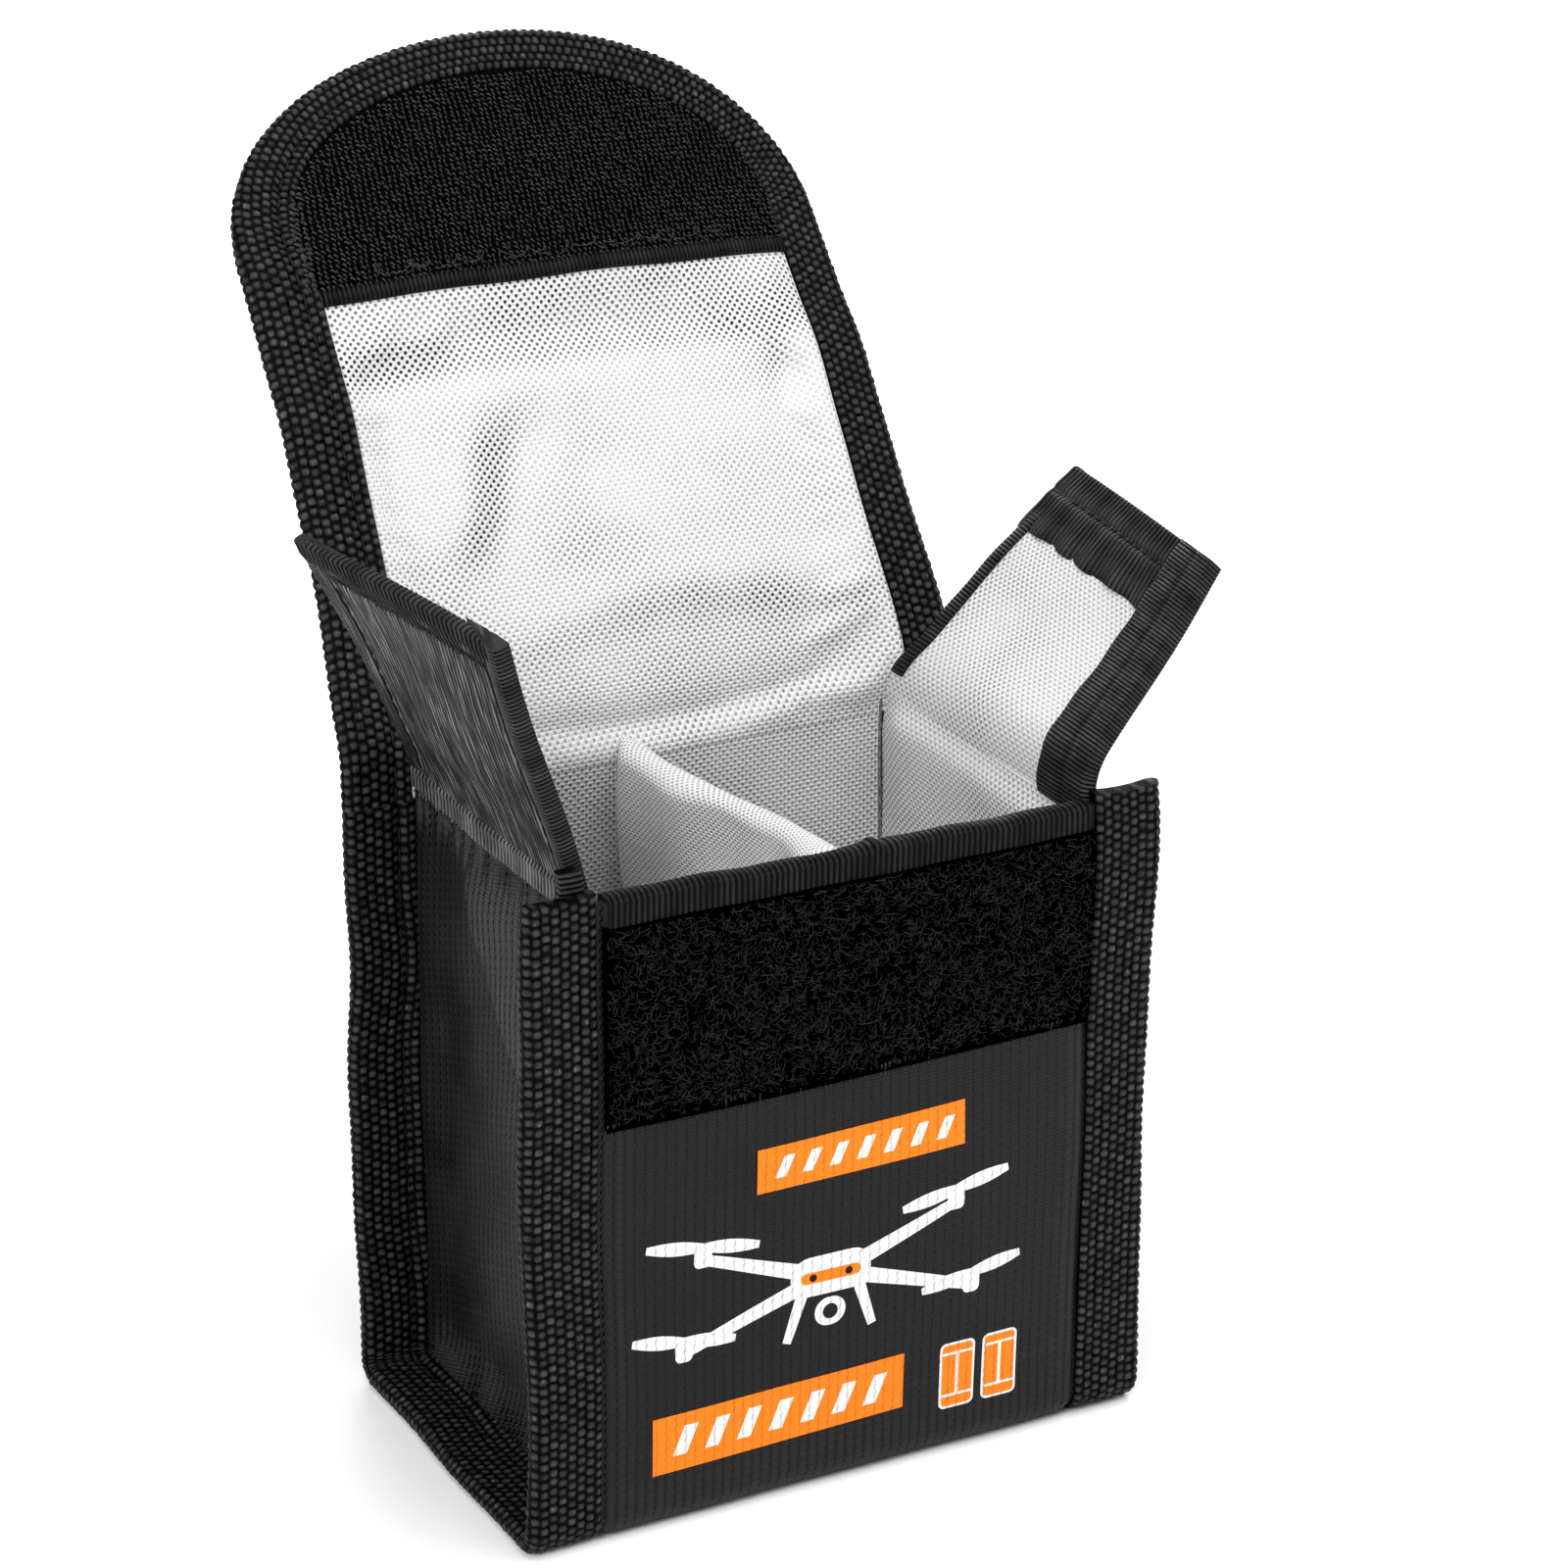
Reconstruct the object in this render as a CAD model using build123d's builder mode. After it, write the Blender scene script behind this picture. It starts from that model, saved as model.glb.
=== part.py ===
"""Fire-resistant bag for two battery packs: a sewn box with a lid, two side flaps and a padded divider.

Millimetres. The origin is the centre of the base, on the surface the bag stands on. +X is to the right
of the front panel, the front panel faces -Y, and +Z is up. The bag stands open, its lid leaning back.
"""
import os
from math import cos, radians, sin

from build123d import *

# Body of the bag, over the outside of its cloth
body_width = 80.0
body_depth = 62.0
body_height = 100.0
corner_radius = 8.0

# Cloth and tape
panel_thickness = 1.6
lining_thickness = 1.0
tape_thickness = 0.8
binding_width = 11.0
seam_allowance = 10.0

# Closure on the front panel
loop_tape_height = 30.0
loop_tape_thickness = 1.2
rim_hem_height = 4.0
rim_hem_thickness = 0.6

# Divider between the two compartments
divider_thickness = 4.5
divider_skin = 0.8
divider_height = 99.0

# Lid: a neck that bends back at the rim, a flat stretch over the mouth, and a tip over the front
lid_half_width = 39.0
lid_layer = 1.0
neck_gap = 0.3
neck_top = 103.8
lid_axis_height = 104.1
lid_length = 62.4
lid_lean = 30.0
tip_length = 37.0
tip_straight = 10.0
tip_lean = 32.0
tip_binding_width = 7.5
hook_patch_length = 27.0
hook_patch_thickness = 1.2
hook_hem_height = 3.0
hook_hem_thickness = 0.6
lining_bend_gap = 0.6
panel_bend_gap = 1.2

# Side flaps, which grow out of the gussets
flap_length = 42.0
flap_half_width = 25.0
flap_layer = 0.5
flap_hem_width = 9.0
flap_hem_thickness = 0.3
flap_root_gap = 0.6
flap_axis_offset = 0.3
left_flap_axis_height = 101.9
right_flap_axis_height = 103.8
left_flap_lean = 20.0
right_flap_lean = 43.0

half_width = body_width / 2
half_depth = body_depth / 2
fin_edge = half_width + binding_width
strip_edge = half_width + seam_allowance
binding_thickness = panel_thickness + 2 * tape_thickness
gusset_skin = panel_thickness / 2
lining_half_width = half_width - gusset_skin - lining_thickness
lining_depth = panel_thickness + lining_thickness
lid_thickness = 2 * lid_layer
lid_layers = (("lining", -lid_layer, lining_bend_gap), ("panel", -lid_thickness, panel_bend_gap))
flap_thickness = 2 * flap_layer + 2 * flap_hem_thickness


def strip_outline(inset, mode=Mode.ADD):
    """Section of the body from front to back, a distance inside its outer face, open at the rim."""
    half = half_depth - inset
    with BuildLine() as outline:
        FilletPolyline(
            (-half, body_height),
            (-half, inset),
            (half, inset),
            (half, body_height),
            radius=corner_radius - inset,
        )
        Line((half, body_height), (-half, body_height))
    make_face(outline.line, mode=mode)


def strip_layer(x_from, x_to, outer_inset, inner_inset):
    """Cloth that runs down the front, under the base and up the back, between two insets."""
    with BuildSketch(Plane.YZ.offset(x_from)) as section:
        strip_outline(outer_inset)
        strip_outline(inner_inset, mode=Mode.SUBTRACT)
    extrude(section.sketch, amount=x_to - x_from)


def keep_stretch(stretch):
    """Cut a whole strip down to its front, base or back."""
    base_plane = Plane.XY.offset(corner_radius)
    if stretch == "base":
        split(bisect_by=base_plane, keep=Keep.BOTTOM)
    else:
        split(bisect_by=base_plane, keep=Keep.TOP)
        back_side = Keep.BOTTOM if stretch == "back" else Keep.TOP
        split(bisect_by=Plane.XZ, keep=back_side)


def save(piece, name):
    """Label a finished piece and write it as its own file."""
    piece.part.label = name
    export_step(piece.part, f"parts/{name}.step")


# ---------------------------------------------------------------------------
# Body: one strip of coated cloth for front, base and back, with a gusset sewn in each side
# ---------------------------------------------------------------------------


def body_panel(stretch):
    """Outer cloth of one stretch, puffed between the seams and pressed flat in the seam allowances."""
    with BuildPart() as panel:
        strip_layer(-half_width, half_width, 0, panel_thickness)
        for edge in (-strip_edge, half_width):
            strip_layer(edge, edge + seam_allowance, tape_thickness, tape_thickness + panel_thickness)
        keep_stretch(stretch)
    save(panel, f"{stretch}_panel")


def body_lining(stretch):
    """Woven glass cloth inside one stretch of the strip."""
    with BuildPart() as lining:
        strip_layer(-lining_half_width, lining_half_width, panel_thickness, lining_depth)
        keep_stretch(stretch)
    save(lining, f"{stretch}_lining")


def body_binding(side, stretch):
    """Tape folded round one stretch of a seam, outside, over the raw edge and inside."""
    inner_leg = binding_thickness - tape_thickness
    with BuildPart() as binding:
        if side == "left":
            x_from, x_to, edge_from = -fin_edge, -half_width, -fin_edge
        else:
            x_from, x_to, edge_from = half_width, fin_edge, strip_edge
        strip_layer(x_from, x_to, 0, tape_thickness)
        strip_layer(x_from, x_to, inner_leg, binding_thickness)
        strip_layer(edge_from, edge_from + fin_edge - strip_edge, tape_thickness, inner_leg)
        keep_stretch(stretch)
    save(binding, f"{side}_{stretch}_binding")


def gusset(side):
    """Side wall: coated cloth outside and woven glass cloth inside, inside the strip."""
    sign = -1 if side == "left" else 1
    with BuildPart() as shell:
        with BuildSketch(Plane.YZ.offset(sign * half_width)):
            strip_outline(panel_thickness)
        extrude(amount=-sign * gusset_skin)
    save(shell, f"{side}_gusset")
    with BuildPart() as lining:
        with BuildSketch(Plane.YZ.offset(sign * (half_width - gusset_skin))):
            strip_outline(panel_thickness)
        extrude(amount=-sign * lining_thickness)
    save(lining, f"{side}_gusset_lining")


def front_closure():
    """Loop tape across the front panel, and the ribbed hem folded over the rim above it."""
    rim_bottom = body_height - rim_hem_height
    with BuildPart() as tape:
        with BuildSketch(Plane.XZ.offset(half_depth)):
            with Locations((0, rim_bottom - loop_tape_height / 2)):
                Rectangle(2 * lid_half_width, loop_tape_height)
        extrude(amount=loop_tape_thickness)
        fillet(tape.faces().sort_by(Axis.Y)[0].edges(), radius=loop_tape_thickness / 3)
    save(tape, "loop_tape")

    hem_front = -half_depth - rim_hem_thickness
    hem_back = -half_depth + lining_depth + rim_hem_thickness
    with BuildPart() as hem:
        with BuildSketch(Plane.YZ.offset(-lining_half_width)):
            with BuildLine():
                Polyline(
                    (hem_front, rim_bottom),
                    (hem_front, body_height + rim_hem_thickness),
                    (hem_back, body_height + rim_hem_thickness),
                    (hem_back, rim_bottom),
                    (hem_back - rim_hem_thickness, rim_bottom),
                    (hem_back - rim_hem_thickness, body_height),
                    (-half_depth, body_height),
                    (-half_depth, rim_bottom),
                    close=True,
                )
            make_face()
        extrude(amount=2 * lining_half_width)
    save(hem, "front_rim_hem")


def divider_slab(thickness, top):
    """Wall across the middle of the bag that fits the lining's round corners, up to a height."""
    front = -half_depth + lining_depth + rim_hem_thickness
    back = half_depth - lining_depth
    with BuildSketch(Plane.YZ.offset(-thickness / 2)) as section:
        strip_outline(lining_depth)
        with Locations(((front + back) / 2, top / 2)):
            Rectangle(back - front, top, mode=Mode.INTERSECT)
    return extrude(section.sketch, amount=thickness, mode=Mode.PRIVATE)


def divider():
    """Padded wall between the compartments: glass cloth folded over a pad, open at its sewn edges."""
    pad = divider_slab(divider_thickness - 2 * divider_skin, divider_height - divider_skin)
    with BuildPart() as cover:
        add(divider_slab(divider_thickness, divider_height))
        fillet(cover.faces().sort_by(Axis.Z)[-1].edges().filter_by(Axis.Y), radius=divider_skin)
        add(pad, mode=Mode.SUBTRACT)
    save(cover, "divider_cover")
    with BuildPart() as padding:
        add(pad)
    save(padding, "divider_padding")


# ---------------------------------------------------------------------------
# Lid: neck, lid and tip, each on the plane of its lining's inner face
# ---------------------------------------------------------------------------


def leaning_plane(y, z, lean):
    """Plane across the bag, its Y up the cloth, leaning back, its normal to the lining's side."""
    return Plane(origin=(0, y, z), x_dir=(1, 0, 0), z_dir=(0, -cos(radians(lean)), sin(radians(lean))))


def along(y, z, lean, distance):
    """Point a distance up a leaning plane."""
    return y + distance * sin(radians(lean)), z + distance * cos(radians(lean))


def centred_band(inner_x, outer_x, bottom, top):
    """Rectangle between two X values and two heights on the active sketch."""
    with Locations(((inner_x + outer_x) / 2, (bottom + top) / 2)):
        Rectangle(abs(outer_x - inner_x), top - bottom)


def neck():
    """Short upright band between the rim and the lid, the first place where the cloth bends."""
    inner = half_depth - lining_depth
    middle = inner + lining_thickness
    bottom = body_height + neck_gap
    for name, y_from, y_to in (("neck_lining", inner, middle), ("neck_panel", middle, half_depth)):
        with BuildPart() as layer:
            with BuildSketch(Plane.XZ.offset(-y_to)):
                centred_band(-lid_half_width, lid_half_width, bottom, neck_top)
            extrude(amount=y_to - y_from)
        save(layer, name)
    for side, sign in (("left", -1), ("right", 1)):
        with BuildPart() as binding:
            with BuildSketch(Plane.XZ.offset(-half_depth)):
                centred_band(sign * lid_half_width, sign * fin_edge, bottom, neck_top)
            extrude(amount=binding_thickness)
            fillet(binding.edges().filter_by(Axis.Z).group_by(Axis.X)[-1 if sign > 0 else 0], radius=1.2)
        save(binding, f"neck_{side}_binding")


def lid():
    """Flat stretch of the lid that covers the mouth."""
    plane = leaning_plane(half_depth - lining_depth, lid_axis_height, lid_lean)
    for name, under, gap in lid_layers:
        with BuildPart() as layer:
            with BuildSketch(plane.offset(under)):
                centred_band(-lid_half_width, lid_half_width, gap, lid_length - gap)
            extrude(amount=lid_layer)
        save(layer, f"lid_{name}")
    bottom, top = panel_bend_gap, lid_length - panel_bend_gap
    for side, sign in (("left", -1), ("right", 1)):
        with BuildPart() as binding:
            with BuildSketch(plane.offset(-lid_thickness - tape_thickness / 2)):
                centred_band(sign * lid_half_width, sign * fin_edge, bottom, top)
            extrude(amount=lid_thickness + tape_thickness)
        save(binding, f"lid_{side}_binding")


def arch(inset, top_inset, bottom, mode=Mode.ADD):
    """Outline of the tip: straight sides, then half an ellipse over the top."""
    side = fin_edge - inset
    with BuildLine() as outline:
        Polyline((-side, tip_straight), (-side, bottom), (side, bottom), (side, tip_straight))
        rise = tip_length - top_inset - tip_straight
        EllipticalCenterArc((0, tip_straight), side, rise, start_angle=0, arc_size=180)
    make_face(outline.line, mode=mode)


def lid_tip():
    """End of the lid, which folds down over the front panel, with the hook patch on its inside."""
    crease = along(half_depth - lining_depth, lid_axis_height, lid_lean, lid_length)
    plane = leaning_plane(*crease, tip_lean)
    panel_inset = fin_edge - lid_half_width
    for name, under, gap in lid_layers:
        with BuildPart() as layer:
            with BuildSketch(plane.offset(under)):
                arch(panel_inset, tip_binding_width, gap)
            extrude(amount=lid_layer)
        save(layer, f"tip_{name}")

    with BuildPart() as binding:
        with BuildSketch(plane.offset(-lid_thickness - tape_thickness / 2)):
            arch(0, 0, panel_bend_gap)
            arch(panel_inset, tip_binding_width, panel_bend_gap, mode=Mode.SUBTRACT)
        extrude(amount=lid_thickness + tape_thickness)
    save(binding, "tip_binding")

    patch_bottom = tip_length - tip_binding_width - hook_patch_length
    with BuildPart() as patch:
        with BuildSketch(plane):
            arch(panel_inset, tip_binding_width, patch_bottom)
        extrude(amount=hook_patch_thickness)
    save(patch, "hook_patch")
    with BuildPart() as hem:
        with BuildSketch(plane.offset(hook_patch_thickness)):
            centred_band(-lid_half_width, lid_half_width, patch_bottom, patch_bottom + hook_hem_height)
        extrude(amount=hook_hem_thickness)
    save(hem, "hook_patch_hem")


# ---------------------------------------------------------------------------
# Side flaps: one plane each, with X along the rim, Y up the flap and Z out of the bag
# ---------------------------------------------------------------------------


def side_flap(side, axis_height, lean):
    """Flap that closes one side of the mouth, hemmed with ribbed tape on its three free edges."""
    sign = -1 if side == "left" else 1
    plane = Plane(
        origin=(sign * (half_width + flap_axis_offset), 0, axis_height),
        x_dir=(0, sign, 0),
        z_dir=(sign * cos(radians(lean)), 0, -sin(radians(lean))),
    )
    lining_under = -flap_thickness + flap_hem_thickness
    middle = lining_under + flap_layer
    edge = flap_half_width - flap_hem_thickness
    for name, under, over in (("lining", lining_under, middle), ("panel", middle, middle + flap_layer)):
        with BuildPart() as layer:
            with BuildSketch(plane.offset(under)):
                centred_band(-edge, edge, flap_root_gap, flap_length - flap_hem_thickness)
            extrude(amount=over - under)
        save(layer, f"{side}_flap_{name}")
    with BuildPart() as hem:
        with BuildSketch(plane.offset(-flap_thickness)):
            centred_band(-flap_half_width, flap_half_width, flap_root_gap, flap_length)
        extrude(amount=flap_thickness)
        with BuildSketch(plane.offset(-flap_thickness)):
            inner = flap_half_width - flap_hem_width
            centred_band(-inner, inner, 0, flap_length - flap_hem_width)
        extrude(amount=flap_thickness, mode=Mode.SUBTRACT)
        with BuildSketch(plane.offset(lining_under)):
            centred_band(-edge, edge, 0, flap_length - flap_hem_thickness)
        extrude(amount=2 * flap_layer, mode=Mode.SUBTRACT)
    save(hem, f"{side}_flap_hem")


def main():
    os.makedirs("parts", exist_ok=True)
    for stretch in ("front", "base", "back"):
        body_panel(stretch)
        body_lining(stretch)
        for side in ("left", "right"):
            body_binding(side, stretch)
    for side in ("left", "right"):
        gusset(side)
    front_closure()
    divider()
    neck()
    lid()
    lid_tip()
    side_flap("left", left_flap_axis_height, left_flap_lean)
    side_flap("right", right_flap_axis_height, right_flap_lean)


main()
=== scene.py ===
"""Looks of a fire-resistant bag for two battery packs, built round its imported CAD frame.

Shapes are worked out in millimetres and turned into metres when a mesh is made. +X is to the right of
the front panel, the front panel faces -Y, +Z is up, and the bag stands open on Z = 0. Every cloth has
coordinates of its own, in millimetres along and across the weave, which its material reads.
"""
from math import cos, pi, radians, sin, tau

import bmesh
import bpy
import numpy as np
from mathutils import Matrix, Vector


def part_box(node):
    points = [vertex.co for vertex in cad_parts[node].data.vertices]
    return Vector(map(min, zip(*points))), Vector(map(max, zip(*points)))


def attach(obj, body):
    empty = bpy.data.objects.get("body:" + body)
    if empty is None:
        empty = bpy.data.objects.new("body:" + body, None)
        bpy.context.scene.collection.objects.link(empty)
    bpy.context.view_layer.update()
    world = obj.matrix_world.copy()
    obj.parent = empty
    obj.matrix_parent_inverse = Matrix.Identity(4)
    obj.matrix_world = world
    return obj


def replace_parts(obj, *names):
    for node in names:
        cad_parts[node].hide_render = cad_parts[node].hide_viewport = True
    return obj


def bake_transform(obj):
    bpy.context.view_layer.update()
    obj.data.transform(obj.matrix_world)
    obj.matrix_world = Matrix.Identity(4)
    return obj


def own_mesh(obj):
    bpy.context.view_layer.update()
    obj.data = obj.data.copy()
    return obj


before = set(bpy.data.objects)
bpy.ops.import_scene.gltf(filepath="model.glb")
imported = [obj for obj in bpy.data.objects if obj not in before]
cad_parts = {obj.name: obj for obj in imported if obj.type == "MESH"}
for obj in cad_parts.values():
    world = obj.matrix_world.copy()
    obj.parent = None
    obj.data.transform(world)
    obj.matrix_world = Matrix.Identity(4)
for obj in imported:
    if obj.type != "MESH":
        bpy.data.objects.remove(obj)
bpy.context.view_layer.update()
MM = 0.001
rng = np.random.default_rng(7)


def low(node):
    """Least corner of a CAD node's box, in millimetres."""
    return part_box(node)[0] / MM


def high(node):
    """Greatest corner of a CAD node's box, in millimetres."""
    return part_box(node)[1] / MM


# Sizes from the frame
half_width = high("right_gusset").x
fin_edge = high("right_front_binding").x
fin_width = fin_edge - half_width
half_depth = high("back_panel").y
rim = high("back_panel").z
# The sewn cloth sits tighter to the floor than the panels' plain bends
corner = 0.56 * low("front_panel").z
gusset_half = high("right_gusset").y
panel_thickness = half_depth - gusset_half
lining_face = half_depth - low("back_lining").y
fin_inset = (half_depth - low("right_back_binding").y) / 2
flap_half = high("left_flap_hem").y

# Layers of cloth, as distances inside the outer face of the bag
outer_cloth = (0.0, 1.1)
inner_cloth = (1.4, lining_face)

# The lid as it hangs: how far it leans back at each edge, as a curve in its share of the span, and how much
# less or more its middle does
lid_span = 105.0
lean_left = (34.0, -36.0, 58.0)
lean_right = (22.0, 56.0, -38.0)
lean_bow = (-7.0, 8.5)

# Half the lid's width, and lengths up from the rim: the neck, the tip's fold, the hook patch and the arch
lid_edge = 49.0
neck_bottom, neck_top = -6.0, 3.0
lid_top = 58.5
patch_start = 68.0
arch_start = 76.0
lid_end = 110.5

# Width of the lid's border tape at its left, its right and over its end
border_left, border_right, border_top = 10.6, 8.6, 7.6

# How far the lid's lining and the tip's cloth stop short of the lid's edge, under its border tape
lining_inset, cloth_inset = 4.0, 3.0
lid_width = 2 * (lid_edge - lining_inset)

# How far the stitches run from a binding's inner border, and from a flap's edge
stitch_inset = 2.6
flap_seam = 4.9

# Side flaps: degrees that each leans out at its front and at its back, its length, how much longer its back
# is than its front, the length over which it bends, and how wide its foot is at the front
flap_foot = 97.0
flap_root = 6.5
flaps = {
    "left": dict(sign=-1, front=15.0, back=25.5, length=43.5, uneven=0.07, bend=4.0, toe=1.04),
    "right": dict(sign=1, front=44.0, back=48.5, length=43.8, uneven=0.04, bend=12.0, toe=1.2),
}


# ---------------------------------------------------------------------------
# Small tools for shapes
# ---------------------------------------------------------------------------


def smooth(value, start, end):
    """0 before start, 1 after end, and an even curve between them."""
    t = np.clip((np.asarray(value, float) - start) / (end - start), 0, 1)
    return t * t * (3 - 2 * t)


def hump(value, width):
    """1 at 0, falling away to nothing on both sides over about two widths."""
    return np.exp(-((value / width) ** 2))


def cords(value, pitch):
    """Round ridges from 0 to 1, one in each pitch."""
    return np.abs(np.sin(pi * value / pitch))


def unit(vectors):
    """The vectors brought to a length of 1."""
    return vectors / np.maximum(np.linalg.norm(vectors, axis=-1, keepdims=True), 1e-9)


def steps(start, end, step):
    """Evenly spaced numbers from start to end, about a step apart."""
    return np.linspace(start, end, max(2, round(abs(end - start) / step) + 1))


def sheet_grid(rows, columns):
    """Row and column value of every point of a grid."""
    return np.meshgrid(rows, columns, indexing="ij")


def lengths(points):
    """Length run along each line of points, from its first point."""
    run = np.linalg.norm(np.diff(points, axis=-2), axis=-1).cumsum(axis=-1)
    return np.concatenate([np.zeros((*run.shape[:-1], 1)), run], axis=-1)


def normals(points):
    """Unit normals of a grid of points."""
    return unit(np.cross(np.gradient(points, axis=0), np.gradient(points, axis=1)))


def ripple(a, b, seed):
    """Slow, uneven waves from -1 to 1 over two coordinates in millimetres."""
    draw = np.random.default_rng(seed)
    total = 0
    for wavelength in (41.0, 23.0, 13.0):
        angle, phase = draw.uniform(0, tau, 2)
        way = a * cos(angle) + b * sin(angle)
        total = total + wavelength / 41 * np.sin(tau / wavelength * way + phase)
    return total / 1.9


def grid_quads(rows, columns, first=0):
    """Corner numbers of every cell of a grid."""
    i, j = np.meshgrid(np.arange(rows - 1), np.arange(columns - 1), indexing="ij")
    a = (first + i * columns + j).ravel()
    return np.stack([a, a + columns, a + columns + 1, a + 1], axis=1)


def make_mesh(name, points, quads, triangles=None, cloth=None, crown=None, material=None, sharp=50):
    """A closed mesh of points in millimetres, smooth apart from edges sharper than an angle."""
    triangles = np.zeros((0, 3), int) if triangles is None else triangles
    a, b, c, d = (points[quads[:, k]] for k in range(4))
    volume = (a * np.cross(b, c)).sum() + (a * np.cross(c, d)).sum()
    volume += (points[triangles[:, 0]] * np.cross(points[triangles[:, 1]], points[triangles[:, 2]])).sum()
    if volume < 0:
        quads, triangles = quads[:, ::-1], triangles[:, ::-1]
    points = np.stack([points[:, 0], points[:, 1], np.maximum(points[:, 2], 0.03)], axis=1)
    mesh = bpy.data.meshes.new(name)
    mesh.vertices.add(len(points))
    mesh.vertices.foreach_set("co", (points * MM).astype(np.float32).ravel())
    mesh.loops.add(quads.size + triangles.size)
    corners = np.concatenate([quads.ravel(), triangles.ravel()])
    mesh.loops.foreach_set("vertex_index", corners.astype(np.int32))
    mesh.polygons.add(len(quads) + len(triangles))
    begins = np.concatenate([np.arange(len(quads)) * 4, quads.size + np.arange(len(triangles)) * 3])
    mesh.polygons.foreach_set("loop_start", begins.astype(np.int32))
    mesh.polygons.foreach_set("use_smooth", np.ones(len(quads) + len(triangles), bool))
    mesh.update(calc_edges=True)
    mesh.set_sharp_from_angle(angle=radians(sharp))
    if cloth is not None:
        spread = np.zeros((len(points), 3), np.float32)
        spread[:, : cloth.shape[1]] = cloth
        mesh.attributes.new("cloth", "FLOAT_VECTOR", "POINT").data.foreach_set("vector", spread.ravel())
    if crown is not None:
        mesh.attributes.new("crown", "FLOAT", "POINT").data.foreach_set("value", crown.astype(np.float32))
    mesh.validate()
    piece = bpy.data.objects.new(name, mesh)
    bpy.context.scene.collection.objects.link(piece)
    if material:
        mesh.materials.append(material)
    return piece


def slab(name, outer, inner, cloth, material, crown=None):
    """A closed sheet between two grids of points."""
    rows, columns = outer.shape[:2]
    count = rows * columns
    points = np.concatenate([outer.reshape(-1, 3), inner.reshape(-1, 3)])
    number = np.arange(count).reshape(rows, columns)
    rim_line = np.concatenate([number[0, :], number[1:, -1], number[-1, -2::-1], number[-2:0:-1, 0]])
    following = np.roll(rim_line, -1)
    sides = np.stack([rim_line, following, following + count, rim_line + count], axis=1)
    back = grid_quads(rows, columns, count)[:, ::-1]
    quads = np.concatenate([grid_quads(rows, columns), back, sides[:, ::-1]])
    flat = np.concatenate([cloth.reshape(count, -1)] * 2)
    raised = None if crown is None else np.concatenate([crown.ravel(), np.zeros(count)])
    return make_mesh(name, points, quads, cloth=flat, crown=raised, material=material)


def tube_mesh(name, paths, radii, sides, material):
    """Closed tubes along many polylines at once. paths is (tubes, points, 3) and radii (tubes, points)."""
    tubes, length = paths.shape[:2]
    tangent = unit(np.gradient(paths, axis=1))
    helper = np.where(np.abs(tangent[..., :1]) < 0.8, [1.0, 0.0, 0.0], [0.0, 1.0, 0.0])
    first = unit(np.cross(tangent, helper))
    second = np.cross(tangent, first)
    turn = np.arange(sides) * tau / sides
    ring = np.cos(turn)[:, None] * first[..., None, :] + np.sin(turn)[:, None] * second[..., None, :]
    points = (paths[..., None, :] + radii[..., None, None] * ring).reshape(-1, 3)
    i, j, k = np.meshgrid(np.arange(tubes), np.arange(length - 1), np.arange(sides), indexing="ij")
    base = i * length * sides + j * sides
    a, b = (base + k).ravel(), (base + (k + 1) % sides).ravel()
    quads = np.stack([a, b, b + sides, a + sides], axis=1)
    start = (np.arange(tubes) * length * sides)[:, None]
    fan = np.array([(0, n + 1, n) for n in range(1, sides - 1)])
    caps = (start[:, :, None] + fan).reshape(-1, 3)
    far = caps[:, ::-1] + (length - 1) * sides
    along = lengths(paths)
    cloth = np.stack(np.broadcast_arrays(along[..., None], turn[None, None, :]), axis=-1).reshape(-1, 2)
    ends = np.concatenate([caps, far])
    return make_mesh(name, points, quads, ends, cloth=cloth, material=material, sharp=80)


# ---------------------------------------------------------------------------
# Where things lie: the body strip, the lid and the flaps
# ---------------------------------------------------------------------------

wall = rim - corner
turn_length = corner * pi / 2
base_length = 2 * (half_depth - corner)
strip_length = 2 * wall + 2 * turn_length + base_length
base_start = wall + turn_length
back_start = base_start + base_length


def settle(points):
    """Slow bulges that a sewn bag has, which die out at the base and where the lid begins."""
    x, y, z = points[..., 0], points[..., 1], points[..., 2]
    free = smooth(z, 2, 24) * (1 - smooth(y, -10, half_depth) * smooth(z, 70, 97))
    front = smooth(-y, 8, half_depth)
    side = smooth(np.abs(x), 24, half_width) * np.sign(x)
    moved = points.copy()
    moved[..., 1] += free * front * (0.35 * np.sin(z / 11 + x / 19) - 0.7 * np.cos(x / half_width * 1.4))
    moved[..., 0] += free * side * (0.22 * np.sin(z / 17 + y / 9 + 1) + 0.12 * np.sin(z / 6.3 - y / 5))
    return moved


def on_strip(x, u, inset):
    """Point of the body strip: u runs down the front, under the base and up the back."""
    x, u, inset = np.broadcast_arrays(x, u, inset)
    reach = corner - inset
    first = np.clip((u - wall) / corner, 0, pi / 2)
    second = np.clip((u - back_start) / corner, 0, pi / 2)
    middle = np.clip(u - base_start, 0, base_length)
    in_back = u > back_start
    front = corner - half_depth - reach * np.cos(first)
    y = np.where(in_back, half_depth - corner + reach * np.sin(second), front)
    y = np.where((u > base_start) & ~in_back, corner - half_depth + middle, y)
    z = np.where(in_back, corner - reach * np.cos(second), corner - reach * np.sin(first))
    z = z + np.clip(wall - u, 0, None) + np.clip(u - back_start - turn_length, 0, None)
    return settle(np.stack([x, y, z], axis=-1))


def lean_at(x, s):
    """Lean of the lid at a place across and a length up from the rim, in radians."""
    t = s / lid_span
    across = (x / lid_edge + 1) / 2
    left, right = (a + b * t + c * t * t for a, b, c in (lean_left, lean_right))
    bow = (1 - (x / lid_edge) ** 2) * (lean_bow[0] + lean_bow[1] * t)
    hinge = 7 * hump(s - 56, 5) - 5 * hump(s - 47, 6)
    return np.radians((left * (1 - across) + right * across + bow + hinge) * smooth(s, -2, 7))


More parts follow.
